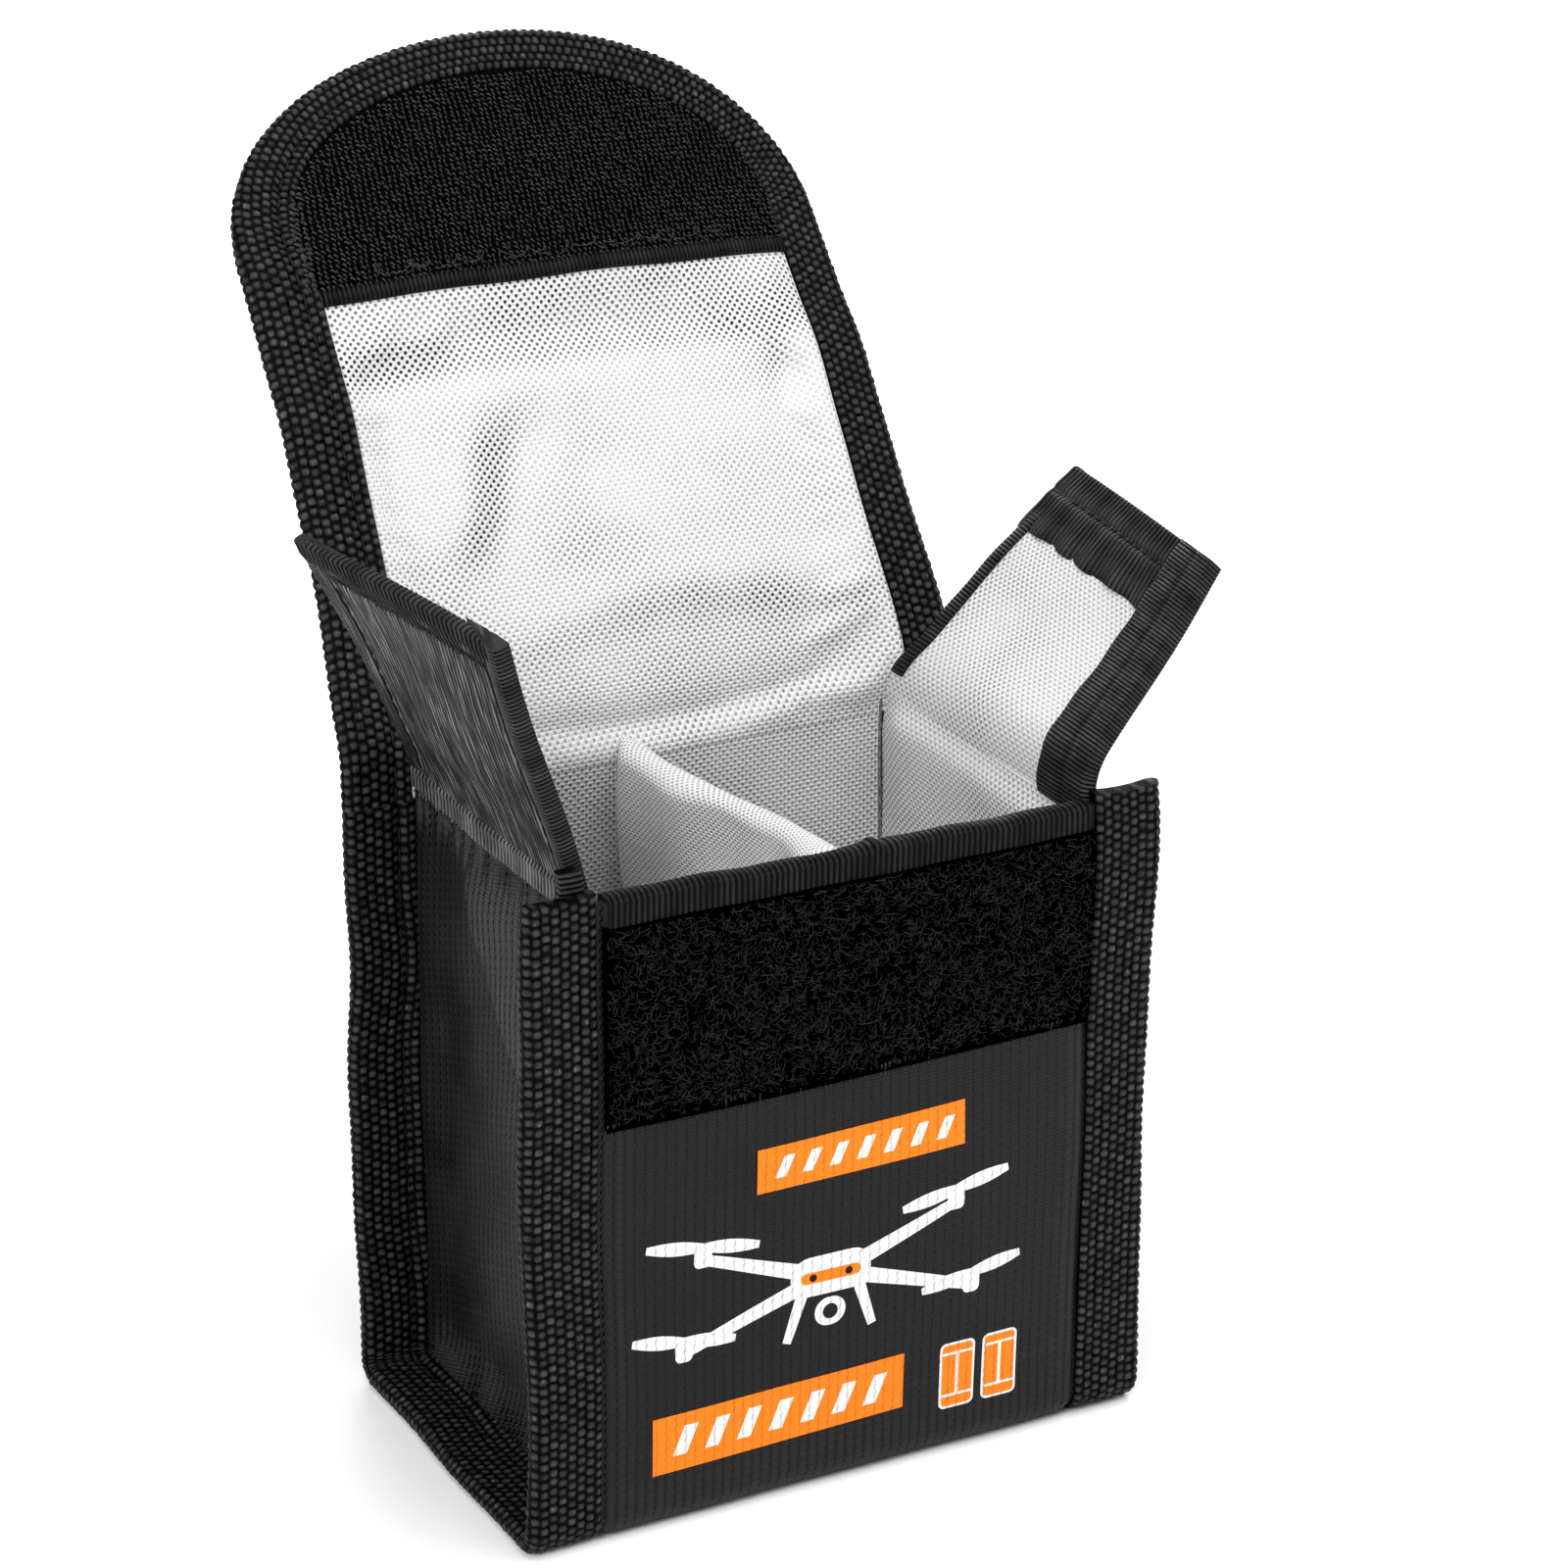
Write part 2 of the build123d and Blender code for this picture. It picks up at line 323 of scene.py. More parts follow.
def on_lid(x, s, lift):
    """Point of the lid, a length up from the rim, lifted off the middle of its cloth to its inside."""
    x, s, lift = np.broadcast_arrays(*(np.asarray(v, float) for v in (x, s, lift)))
    parts = 40
    stride = (np.maximum(s, neck_bottom) - neck_bottom) / parts
    y = np.full(s.shape, half_depth - fin_inset)
    z = rim + neck_bottom + np.minimum(s - neck_bottom, 0)
    for k in range(parts):
        lean = lean_at(x, neck_bottom + (k + 0.5) * stride)
        y = y + np.sin(lean) * stride
        z = z + np.cos(lean) * stride
    lean = lean_at(x, s)
    return np.stack([x, y - np.cos(lean) * lift, z + np.sin(lean) * lift], axis=-1)


def on_flap(side, p, q, lift):
    """Point of a side flap: p from front to back, q up from below the rim, lifted out of the bag."""
    shape = flaps[side]
    p, q, lift = np.broadcast_arrays(*(np.asarray(v, float) for v in (p, q, lift)))
    share = (p / flap_half + 1) / 2
    lean = np.radians(shape["front"] * (1 - share) + shape["back"] * share)
    q = q * (1 + shape["uneven"] * (2 * share - 1))
    parts = 24
    x = np.full(q.shape, half_width - 0.4)
    z = np.full(q.shape, flap_foot)
    for k in range(parts):
        part = (k + 0.5) / parts * q
        angle = lean * smooth(part, 0, shape["bend"]) + 0.05 * np.sin(part / 6 + p / 14)
        x = x + np.sin(angle) * q / parts
        z = z + np.cos(angle) * q / parts
    angle = lean * smooth(q, 0, shape["bend"])
    up = q / shape["length"]
    back = 1.16 - 0.16 * smooth(q, 0, 11) - 0.08 * up
    front = shape["toe"] - (shape["toe"] - 0.92) * up
    y = p * (back + (front - back) * smooth(share, 0.65, 0.35)) + up
    x = x + lift * np.cos(angle)
    return np.stack([shape["sign"] * x, y, z - lift * np.sin(angle)], axis=-1)


# ---------------------------------------------------------------------------
# Materials
# ---------------------------------------------------------------------------


class Finish:
    """A procedural material whose patterns are sums and products of the cloth's own coordinates."""

    def __init__(self, name, **settings):
        self.material = bpy.data.materials.new(name)
        self.material.use_nodes = True
        self.tree = self.material.node_tree
        self.shader = self.tree.nodes["Principled BSDF"]
        for socket, value in settings.items():
            self.shader.inputs[socket.replace("_", " ")].default_value = value
        read = self.node("ShaderNodeAttribute")
        read.attribute_name = "cloth"
        parts = self.node("ShaderNodeSeparateXYZ", read.outputs["Vector"])
        self.vector = read.outputs["Vector"]
        # The cloth's third value is painted light: painted glints on the coated cloth, and a painted sheen
        # and painted shade on the glass cloth.
        self.along, self.across, self.painted_light = parts.outputs

    def node(self, kind, *inputs, **named):
        """A new node with its inputs linked or set, by number and by name."""
        node = self.tree.nodes.new(kind)
        for key, value in [*enumerate(inputs), *named.items()]:
            self.put(node.inputs[key], value)
        return node

    def put(self, socket, value):
        """Links a socket to another node's output, or sets it to a plain value."""
        if isinstance(value, bpy.types.NodeSocket):
            self.tree.links.new(value, socket)
        else:
            socket.default_value = value

    def math(self, operation, *values):
        node = self.node("ShaderNodeMath")
        node.operation = operation
        for socket, value in zip(node.inputs, values):
            self.put(socket, value)
        return node.outputs[0]

    def add(self, a, b):
        return self.math("ADD", a, b)

    def times(self, a, b):
        return self.math("MULTIPLY", a, b)

    def scaled(self, value, factor, offset):
        """A value times a factor, and an offset added."""
        return self.math("MULTIPLY_ADD", value, factor, offset)

    def wave(self, coordinate, pitch):
        """Sine with a full period of one pitch."""
        return self.math("SINE", self.times(coordinate, tau / pitch))

    def ridges(self, coordinate, pitch):
        """Round ridges from 0 to 1, one in each pitch."""
        return self.math("ABSOLUTE", self.wave(coordinate, 2 * pitch))

    def step(self, value, start, end):
        """0 at start, 1 at end, and an even curve between them."""
        node = self.node("ShaderNodeMapRange", value, start, end)
        node.interpolation_type = "SMOOTHSTEP"
        return node.outputs[0]

    def noise(self, size, stretch=(1, 1, 1), detail=3.0):
        """Noise from 0 to 1 whose grains are about a size across, in the cloth's millimetres."""
        scaled = self.node("ShaderNodeMapping", self.vector)
        scaled.inputs["Scale"].default_value = [v / size for v in stretch]
        made = self.node("ShaderNodeTexNoise", scaled.outputs[0], Scale=1.0, Detail=detail)
        return made.outputs["Fac"]

    def mix(self, share, a, b):
        """Colour a where share is 0, and colour b where it is 1."""
        node = self.node("ShaderNodeMix")
        node.data_type = "RGBA"
        for socket, value in ((node.inputs[0], share), (node.inputs[6], a), (node.inputs[7], b)):
            self.put(socket, value)
        return node.outputs[2]

    def finish(self, colour, height, distance, roughness):
        """Wires to the shader its colour, roughness, and a height that stands up by a distance in mm."""
        bump = self.node("ShaderNodeBump", Strength=1.0, Distance=distance * MM, Height=height)
        self.put(self.shader.inputs["Base Color"], colour)
        self.put(self.shader.inputs["Normal"], bump.outputs[0])
        self.put(self.shader.inputs["Roughness"], roughness)
        return self.material


def grey(level):
    """A grey that is very slightly blue."""
    return (level, level, level * 1.02, 1)


# The coated cloth's ribs: how far apart they are, and how long each dash of a rib is
rib_pitch, rib_dash = 1.56, 1.41


def woven_ribs(finish):
    """Fine ribs that run with the cloth, each broken into short dashes that don't line up."""
    lane = finish.ridges(finish.across, rib_pitch)
    column = finish.math("FLOOR", finish.math("DIVIDE", finish.across, rib_pitch))
    offset = finish.times(finish.math("FRACT", finish.times(column, 0.37)), tau)
    broken = finish.math("SINE", finish.add(finish.times(finish.along, tau / rib_dash), offset))
    broken = finish.step(broken, -0.75, 0.35)
    wide = finish.step(lane, 0.0, 0.5)
    return finish.math("SUBTRACT", 1.0, finish.times(finish.math("SUBTRACT", 1.0, wide), broken))


def coated_cloth(name, dark, light, gloss=0.5):
    """Coated polyester: a smooth dark skin with dark dashes where its ribs part, painted glints in small
    specks, and painted highlights on its rib crests.
    """
    finish = Finish(name, Specular_IOR_Level=0.28)
    height = woven_ribs(finish)
    cross = finish.ridges(finish.along, 0.55)
    # Painted glints: small specks painted paler.
    painted_glint = finish.step(finish.noise(0.55, (0.35, 1.5, 1)), 0.63, 0.8)
    cloudy = finish.noise(14)
    share = finish.times(height, finish.scaled(cloudy, 0.9, 0.1))
    share = finish.add(share, finish.times(painted_glint, 0.45))
    # Painted highlights on the rib crests, as strong as the cloth's painted light value.
    crest = finish.step(finish.ridges(finish.across, rib_pitch), 0.6, 1.0)
    lit = finish.times(crest, finish.ridges(finish.along, rib_dash))
    share = finish.add(share, finish.times(finish.times(lit, finish.painted_light), 2.5))
    colour = finish.mix(share, grey(dark), grey(light))
    bumps = finish.add(height, finish.times(cross, 0.22))
    rough = finish.scaled(cloudy, 0.3, gloss - 0.15)
    return finish.finish(colour, bumps, 0.22, rough)


def ribbed_cloth(name, dark, light, pitch):
    """The same cloth where its ribs stand out: fine cords whose crests carry painted highlights, in streaks
    along the cloth.
    """
    finish = Finish(name, Specular_IOR_Level=0.1)
    drift = finish.times(finish.noise(9.0), 0.9)
    cord = finish.ridges(finish.add(finish.across, drift), pitch)
    fine = finish.ridges(finish.along, 0.5)
    streak = finish.step(finish.noise(0.85, (0.13, 1, 1)), 0.4, 0.66)
    patch = finish.noise(11.0, (0.7, 1.2, 1))
    # Painted highlights: the cord crests painted pale, in patches and in streaks.
    share = finish.times(finish.math("POWER", cord, 1.5), finish.scaled(patch, 1.1, -0.1))
    share = finish.times(share, finish.scaled(streak, 1.15, 0.2))
    colour = finish.mix(share, grey(dark), grey(light))
    bumps = finish.add(cord, finish.times(fine, 0.2))
    return finish.finish(colour, bumps, 0.24, finish.scaled(patch, 0.3, 0.3))


def printed(name, colour, worn):
    """Ink on the coated cloth: the same ribs show through, and the ink is thin in the valleys."""
    finish = Finish(name, Specular_IOR_Level=0.3)
    height = woven_ribs(finish)
    thin = finish.times(finish.step(height, 0.4, 0.0), finish.step(finish.noise(3.1), 0.35, 0.7))
    return finish.finish(finish.mix(thin, colour, worn), height, 0.2, 0.55)


def glass_cloth(name, light=0.7, dark=0.06, cell=0.66):
    """Woven glass cloth with a silver coat: yarns that pass over are bright, and those under are dark."""
    finish = Finish(name, Specular_IOR_Level=0.4)
    u, v = finish.along, finish.across
    weave = finish.times(finish.wave(u, 2 * cell), finish.wave(v, 2 * cell))
    over = finish.step(weave, -0.72, -0.02)
    patches = finish.step(finish.noise(17, detail=2.0), 0.32, 0.62)
    # Painted sheen: the under yarns are lifted by random patches and by the cloth's painted light value.
    patches_and_sheen = finish.scaled(patches, 0.35, finish.times(finish.painted_light, 0.65))
    floor_grey = finish.scaled(patches_and_sheen, light - dark - 0.16, dark)
    pale = finish.node("ShaderNodeCombineColor", floor_grey, floor_grey, floor_grey).outputs[0]
    # Painted shade: the over yarns are painted dimmer where the painted light value falls below zero, on
    # folds that turn away.
    dim = finish.step(finish.painted_light, -0.9, 0.1)
    high_grey = finish.scaled(dim, 0.14 * light, 0.86 * light)
    bright = finish.node("ShaderNodeCombineColor", high_grey, high_grey, high_grey).outputs[0]
    colour = finish.mix(over, pale, bright)
    crown = finish.math("ABSOLUTE", weave)
    return finish.finish(colour, crown, 0.14, 0.42)


def coarse_tape(name, dark=0.0003, light=0.13):
    """Coarse polypropylene tape. Its knots are geometry, and crown says how far up a knot a point is; from
    it the colour paints paler knot tops and near-black shade between knots.
    """
    finish = Finish(name, Specular_IOR_Level=0.1)
    read = finish.node("ShaderNodeAttribute")
    read.attribute_name = "crown"
    fibre = finish.noise(0.3, (0.22, 1.3, 1))
    patch = finish.noise(2.3)
    painted_glint = finish.step(finish.noise(0.8, (0.4, 1.3, 1)), 0.6, 0.78)
    # Painted light: knot tops painted paler, the gaps between knots painted near-black shade, and painted
    # glints on the tops.
    up = finish.step(read.outputs["Fac"], 0.35, 0.95)
    share = finish.times(up, finish.scaled(patch, 1.2, -0.1))
    share = finish.times(share, finish.scaled(fibre, 0.9, 0.4))
    share = finish.add(share, finish.times(painted_glint, up))
    colour = finish.mix(share, grey(dark), grey(light))
    return finish.finish(colour, fibre, 0.2, finish.scaled(fibre, 0.4, 0.25))


def grosgrain(name, dark=0.0015, light=0.045, pitch=0.74):
    """Ribbed tape: fine cords across it, whose crests carry painted highlights that come and go."""
    finish = Finish(name, Specular_IOR_Level=0.12)
    cord = finish.ridges(finish.along, pitch)
    patch = finish.noise(5.5, (1.6, 0.6, 1))
    fibre = finish.noise(0.3, (1.4, 0.25, 1))
    # Painted highlights: the cord crests painted paler, in patches.
    share = finish.times(finish.math("POWER", cord, 1.8), finish.scaled(patch, 2.0, -0.35))
    share = finish.times(share, finish.scaled(fibre, 0.9, 0.5))
    colour = finish.mix(share, grey(dark), grey(light))
    bumps = finish.add(cord, finish.times(fibre, 0.35))
    return finish.finish(colour, bumps, 0.2, finish.scaled(fibre, 0.35, 0.28))


def hook_ground(name):
    """Knitted ground that the hooks stand on: fine slanting stitches."""
    finish = Finish(name, Specular_IOR_Level=0.03)
    slant = finish.add(finish.along, finish.times(finish.across, 0.55))
    stitch = finish.times(finish.ridges(slant, 0.72), finish.ridges(finish.across, 1.1))
    fibre = finish.noise(0.3)
    share = finish.times(finish.math("POWER", stitch, 1.5), finish.scaled(fibre, 1.3, 0.0))
    return finish.finish(finish.mix(share, grey(0.0004), grey(0.012)), stitch, 0.25, 0.8)


def fibre_finish(name, dark, light, roughness, grain=0.9, specular=0.3):
    """Yarn or nylon fibre, paler and darker along its length."""
    finish = Finish(name, Specular_IOR_Level=specular)
    uneven = finish.noise(grain)
    twist = finish.wave(finish.add(finish.across, finish.times(finish.along, 4.0)), tau)
    colour = finish.mix(finish.step(uneven, 0.3, 0.75), grey(dark), grey(light))
    return finish.finish(colour, twist, 0.04, finish.scaled(uneven, 0.3, roughness - 0.15))


def pile_ground(name):
    """Matt black ground under the loop pile, in slightly paler clumps."""
    finish = Finish(name, Specular_IOR_Level=0.0)
    clump = finish.noise(1.1)
    colour = finish.mix(finish.step(clump, 0.35, 0.75), grey(0.0002), grey(0.0015))
    return finish.finish(colour, clump, 0.6, 0.95)


outer_finish = coated_cloth("coated_cloth", 0.0012, 0.0155)
# The gusset's copy has paler rib crests, and the flap's copy far paler cords, than the front's: painted
# light on the same cloth.
gusset_finish = coated_cloth("gusset_cloth", 0.0004, 0.028, 0.42)
flap_finish = ribbed_cloth("flap_cloth", 0.0005, 0.34, 0.95)
lining_finish = glass_cloth("glass_cloth")
divider_finish = glass_cloth("divider_cloth", light=0.8, dark=0.22, cell=0.5)
binding_finish = coarse_tape("coarse_tape")
ribbon_finish = grosgrain("grosgrain", 0.0005, 0.075)
dark_ribbon_finish = grosgrain("dark_grosgrain", 0.0004, 0.03)
# A paler copy of the grosgrain: painted glints on the flaps' root tape.
painted_highlight_ribbon_finish = grosgrain("painted_highlight_grosgrain", 0.0003, 0.24)
pile_finish = pile_ground("pile_ground")
loop_finish = fibre_finish("pile_loops", 0.001, 0.1, 0.4, grain=1.8, specular=0.15)
hook_finish = hook_ground("hook_ground")
hook_stub_finish = fibre_finish("hook_stubs", 0.002, 0.19, 0.35, grain=1.6)
thread_finish = fibre_finish("thread", 0.002, 0.014, 0.5)
selvage_finish = fibre_finish("selvage", 0.006, 0.12, 0.4)
seam_finish = fibre_finish("seam_thread", 0.05, 0.3, 0.6)
loose_finish = fibre_finish("loose_thread", 0.03, 0.12, 0.4)
white_ink = printed("white_ink", (0.72, 0.72, 0.72, 1), (0.3, 0.3, 0.3, 1))
orange_ink = printed("orange_ink", (0.95, 0.215, 0.006, 1), (0.42, 0.08, 0.005, 1))
dark_ink = printed("dark_ink", (0.006, 0.006, 0.008, 1), (0.02, 0.02, 0.022, 1))


# ---------------------------------------------------------------------------
# Shared makers: cloth, tape folded over an edge, stitches
# ---------------------------------------------------------------------------

# The coarse tape's knots
knot_length, knot_width, knot_height = 1.5, 1.45, 0.5


def knots(u, v):
    """Height of a coarse tape's knots, 0 to 1, in a brick pattern along u."""
    column = np.floor(v / knot_width)
    lane = cords(v, knot_width)
    shift = 0.38 * (column % 2) + 0.1 * np.sin(column * 2.4)
    bead = np.abs(np.sin(pi * (u / knot_length + shift)))
    uneven = 0.86 + 0.14 * np.sin(u * 1.9 + column * 2.7) * np.sin(u * 0.61 + column)
    return np.clip(lane, 0, 1) ** 0.35 * np.clip(bead, 0, 1) ** 0.55 * uneven


def folded_tape(name, place, path, inward, width, tape_u, sewn):
    """Coarse tape folded over a cloth's edge.

    path is the fold's line in the flat cloth and inward points from it to the seam. place turns flat
    coordinates and a lift into points. The tape is pinched where it's stitched, near its inner border,
    by the share sewn of each place along it.
    """
    half_edge, half_seam = 1.55, 0.85
    leg = int(round(width.max() / 0.22))
    bend = 17
    t = np.linspace(0, 1, leg)
    turn = np.linspace(0, pi, bend)[1:-1]
    w = width[:, None]
    leg_in = w - (w - half_edge) * t
    rounded = np.broadcast_to(half_edge * (1 - np.sin(turn)), (len(path), bend - 2))
    a = np.concatenate([leg_in, rounded, leg_in[:, ::-1]], axis=1)
    seam = w - stitch_inset - 0.1
    pinch = sewn[:, None] * hump(leg_in - seam, 0.9)
    thick = half_edge - (half_edge - half_seam) * pinch - 0.45 * smooth(leg_in, w - 0.9, w)
    rounded_lift = np.broadcast_to(half_edge * np.cos(turn), rounded.shape)
    b = np.concatenate([thick, rounded_lift, -thick[:, ::-1]], axis=1)
    flat = path[:, None, :] + inward[:, None, :] * a[..., None]
    points = place(flat[..., 0], flat[..., 1], b)
    v = lengths(points)
    u = np.broadcast_to(tape_u[:, None], v.shape)
    height = knots(u, v)
    ends = smooth(np.minimum(tape_u - tape_u[0], tape_u[-1] - tape_u), -0.01, 0.4)[:, None]
    out = normals(points)
    middle = points.mean(axis=1, keepdims=True)
    if ((points - middle) * out).sum() < 0:
        out = -out
    points = points + out * (knot_height * (height - 0.45) * ends)[..., None]
    return close_tape(name, points, np.stack([u, v], axis=-1), height, binding_finish)


def close_tape(name, points, cloth, crown, material):
    """Closes a folded strip along its inner border and at both ends."""
    rows, columns = points.shape[:2]
    number = np.arange(rows * columns).reshape(rows, columns)
    seam = np.stack([number[:-1, 0], number[:-1, -1], number[1:, -1], number[1:, 0]], axis=1)
    half = columns // 2
    left, right = number[:, :half], number[:, ::-1][:, :half]
    ends = []
    for row, forward in ((0, True), (rows - 1, False)):
        cap = np.stack([left[row, :-1], left[row, 1:], right[row, 1:], right[row, :-1]], axis=1)
        ends.append(cap if forward else cap[:, ::-1])
    quads = np.concatenate([grid_quads(rows, columns), seam, *ends])
    extra = None
    if columns % 2:
        middle = number[:, half]
        near = (left[0, -1], middle[0], right[0, -1])
        far = (left[-1, -1], right[-1, -1], middle[-1])
        extra = np.array([near, far])
    flat = cloth.reshape(rows * columns, -1)
    crown = crown.ravel()
    return make_mesh(name, points.reshape(-1, 3), quads, extra, flat, crown, material, sharp=75)


def stitches(name, lines, body=None, length=2.3, gap=0.9, radius=0.2):
    """Rows of thread stitches along lines of points in millimetres."""
    starts, ends = [], []
    for line in lines:
        run = lengths(line)
        at = np.arange(0.3, run[-1] - length, length + gap)
        for target, offset in ((starts, 0), (ends, length)):
            target.append(np.stack([np.interp(at + offset, run, line[:, k]) for k in range(3)], axis=1))
    first, last = np.concatenate(starts), np.concatenate(ends)
    share = np.array([0, 0.1, 0.3, 0.7, 0.9, 1])
    fat = np.array([0.25, 0.75, 1, 1, 0.75, 0.25])
    paths = first[:, None, :] + (last - first)[:, None, :] * share[:, None]
    radii = np.broadcast_to(radius * fat, paths.shape[:2])
    piece = tube_mesh(name, paths, radii, 6, thread_finish)
    if body:
        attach(piece, body)
    return piece


def cloth_on(name, place, rows, columns, lifts, material, relief=None, glints=None):
    """Sheet of cloth over a grid of flat coordinates, between two lifts, with a relief added to both."""
    a, b = sheet_grid(rows, columns)
    # The third cloth value is painted light, which the material reads: painted highlights on outer cloth, a
    # painted sheen on linings.
    shine = np.zeros(a.shape) if glints is None else glints(a, b)
    rise = 0 if relief is None else relief(a, b)
    outer = place(b, a, lifts[0] + rise)
    inner = place(b, a, lifts[1] + rise)
    return slab(name, outer, inner, np.stack([a, b, shine], axis=-1), material)


# ---------------------------------------------------------------------------
# Body
# ---------------------------------------------------------------------------


def panel_relief(u, x):
    """The outer cloth sinks in beside its side seams and waves a little."""
    return 0.9 * smooth(np.abs(x), half_width - 2.4, half_width) + 0.12 * ripple(u, x, 3)


def body_cloth():
    """Outer cloth down the front, under the base and up the back, and the woven glass cloth inside it."""
    rows = steps(0, strip_length + neck_bottom, 1.0)
    columns = steps(-half_width, half_width, 1.0)

    def glints(u, x):
        """Painted highlights where the cloth turns under the bag, and in a line beside each side seam."""
        low_down = hump(u - wall + 1.5, 2.6) + 0.5 * hump(u - wall + 9, 0.9)
        beside = 0.3 * hump(np.abs(x) - 37, 1.4)
        return low_down * (0.7 + 0.3 * ripple(u * 3, x * 3, 61)) + beside

    strip = cloth_on("outer_strip", on_strip, rows, columns, outer_cloth, outer_finish, panel_relief, glints)
    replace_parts(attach(strip, "bag"), "front_panel", "base_panel", "back_panel")

    def loose(u, x):
        """The lining's slow waves, held down at its seams and towards the neck."""
        middle = smooth(half_width - np.abs(x), 0, 6) * (1 - smooth(u, strip_length - 20, strip_length - 8))
        return 0.25 * ripple(u, x, 5) * middle

    def painted_sheen(u, x):
        """Painted sheen on the silver coat: an even level with slow waves."""
        return 0.35 + 0.2 * ripple(u, x, 7)

    lining_half = high("front_lining").x
    rows = steps(0.4, strip_length + neck_bottom, 1.0)
    columns = steps(-lining_half, lining_half, 1.0)
    lining = cloth_on("strip_lining", on_strip, rows, columns, inner_cloth, lining_finish, loose, painted_sheen)
    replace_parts(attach(lining, "bag"), "front_lining", "base_lining", "back_lining")
    return strip, lining


def gusset_outline(y):
    """Height of the gusset's bottom seam at each depth."""
    reach = np.clip(np.abs(y) - (half_depth - corner), 0, None)
    radius = corner - panel_thickness
    return corner - np.sqrt(np.clip(radius**2 - reach**2, 0, None))


def crease_at(z):
    """How far back the left gusset's crease lies at each height, in millimetres from the bag's middle."""
    return np.interp(z, (38, 45, 52, 66, 80, 97), (-30, -25, -17, 0, 10, 15))


def gusset_relief(side, y, z):
    """How far a gusset stands out, with its long slanting crease, and the puckers along its seams."""
    low_seam = z - gusset_outline(y)
    soft = smooth(np.minimum(low_seam, gusset_half - np.abs(y)), 0, 9)
    ahead = (crease_at(z) - y) * 0.8
    crease = 2.1 * smooth(ahead, -1.2, 1.2) * (1 - smooth(ahead, 2, 24)) + 0.5 * smooth(-ahead, 2, 22)
    if side == "right":
        crease = 1.3 * hump(y * 0.9 + (z - 45) * 0.42, 9) + 0.4
    fade = smooth(z, 14, 30) * (1 - smooth(z, 84, 96))
    pucker = 0.5 * hump(low_seam, 5.5) * np.sin(tau * y / 1.75 + 0.8 * np.sin(y / 3.1))
    gather = 0.35 * hump(z - 93, 3.0) * np.sin(tau * y / 2.3 + np.sin(y / 3.7))
    waves = crease * fade + (0.4 * ripple(y, z, 11) - 1.6) * (1 - smooth(z, 93, 97))
    return soft * waves, pucker * smooth(low_seam, 0, 0.8) + gather * (1 - smooth(z, 95, 96.5))


def gusset_grid(count, margin, step):
    """Shares up a gusset, places across it and their heights."""
    across = steps(-gusset_half + margin, gusset_half - margin, step)
    t, y = sheet_grid(np.linspace(0, 1, count), across)
    bottom = gusset_outline(y)
    return t, y, bottom + (flap_foot - bottom) * t


def on_gusset(sign, y, t, lift):
    """Point of a gusset at a share of its height, lifted to its outside."""
    bottom = gusset_outline(y)
    z = bottom + (flap_foot + 0.4 - bottom) * t
    return settle(np.stack([sign * (half_width - 0.4 + lift), y, z], axis=-1))


def gussets():
    """Side walls, sewn in between the front, base and back, and their lining."""
    made = []
    for side, sign in (("left", -1), ("right", 1)):
        t, y, z = gusset_grid(190, 0, 0.42)
        relief, puckers = gusset_relief(side, y, z)
        # Painted highlights: along the bottom seam's puckers, under the rim, and ahead of the left gusset's
        # crease.
        glints = hump(z - gusset_outline(y) - 4, 3.2) + 0.25 * hump(z - 92, 3)
        if side == "left":
            ahead = crease_at(z) - y
            glints = glints + 1.3 * smooth(ahead, -0.8, 0.8) * smooth(ahead, 22, 4) * smooth(z, 30, 70)
        cloth = np.stack([z, y, glints], axis=-1)
        outer = on_gusset(sign, y, t, 0.45 + relief + puckers)
        inner = on_gusset(sign, y, t, relief - 0.05)
        piece = slab(f"{side}_gusset_cloth", outer, inner, cloth, gusset_finish)
        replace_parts(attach(piece, "bag"), f"{side}_gusset")

        t, y, z = gusset_grid(90, 1, 1.0)
        level = smooth(z, 90, 96.5)
        inside = smooth(gusset_half - np.abs(y), 1, 8)
        hollow = np.minimum(gusset_relief(side, y, z)[0], 0)
        lift = hollow - 0.1 - (0.6 + 0.2 * ripple(y, z, 21 + sign) * inside) * (1 - level)
        # Painted sheen on the lining's silver coat: an even level with slow waves.
        cloth = np.stack([z, y, 0.4 + 0.25 * ripple(y, z, 23)], axis=-1)
        outer, inner = on_gusset(sign, y, t, lift), on_gusset(sign, y, t, lift - 0.5)
        lining = slab(f"{side}_gusset_glass", outer, inner, cloth, lining_finish)
        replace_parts(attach(lining, "bag"), f"{side}_gusset_lining")
        made += [piece, lining]
    return made


def corner_seams():
    """Seams of the lining up the four inner corners."""
    z = np.linspace(4, 97, 60)
    paths = []
    for x_sign in (-1, 1):
        for y_sign in (-1, 1):
            x = x_sign * (half_width - 2.0 + 0.15 * np.sin(z / 5))
            y = y_sign * (half_depth - lining_face - 0.1 + 0.12 * np.sin(z / 3.7 + x_sign))
            paths.append(settle(np.stack([x, y, z], axis=-1)))
    paths = np.array(paths)
    seam = tube_mesh("corner_seams", paths, np.full(paths.shape[:2], 0.3), 6, seam_finish)
    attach(seam, "bag")


def hem_tab():
    """Cut end of the rim's hem, which stands up by the left front corner."""
    level, across = sheet_grid(steps(96.5, rim + 4.6, 0.16), steps(0, 1, 0.09))
    cord = cords(level, 0.85)
    swell = np.sin(pi * across) ** 0.6
    x = -half_width - 4.2 + 3.6 * across + 0.25 * np.sin(level)
    y = 3.9 - half_depth - 0.06 * (level - rim)
    front = np.stack([x, y - 0.75 - 0.35 * swell - 0.2 * cord, level], axis=-1)
    back = np.stack([x, y + 0.5 + 0.2 * swell, level], axis=-1)
    cloth = np.stack([level * 0.87, across * 3.6], axis=-1)
    tab = slab("hem_tab", front, back, cloth, ribbon_finish, cord)
    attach(tab, "bag")


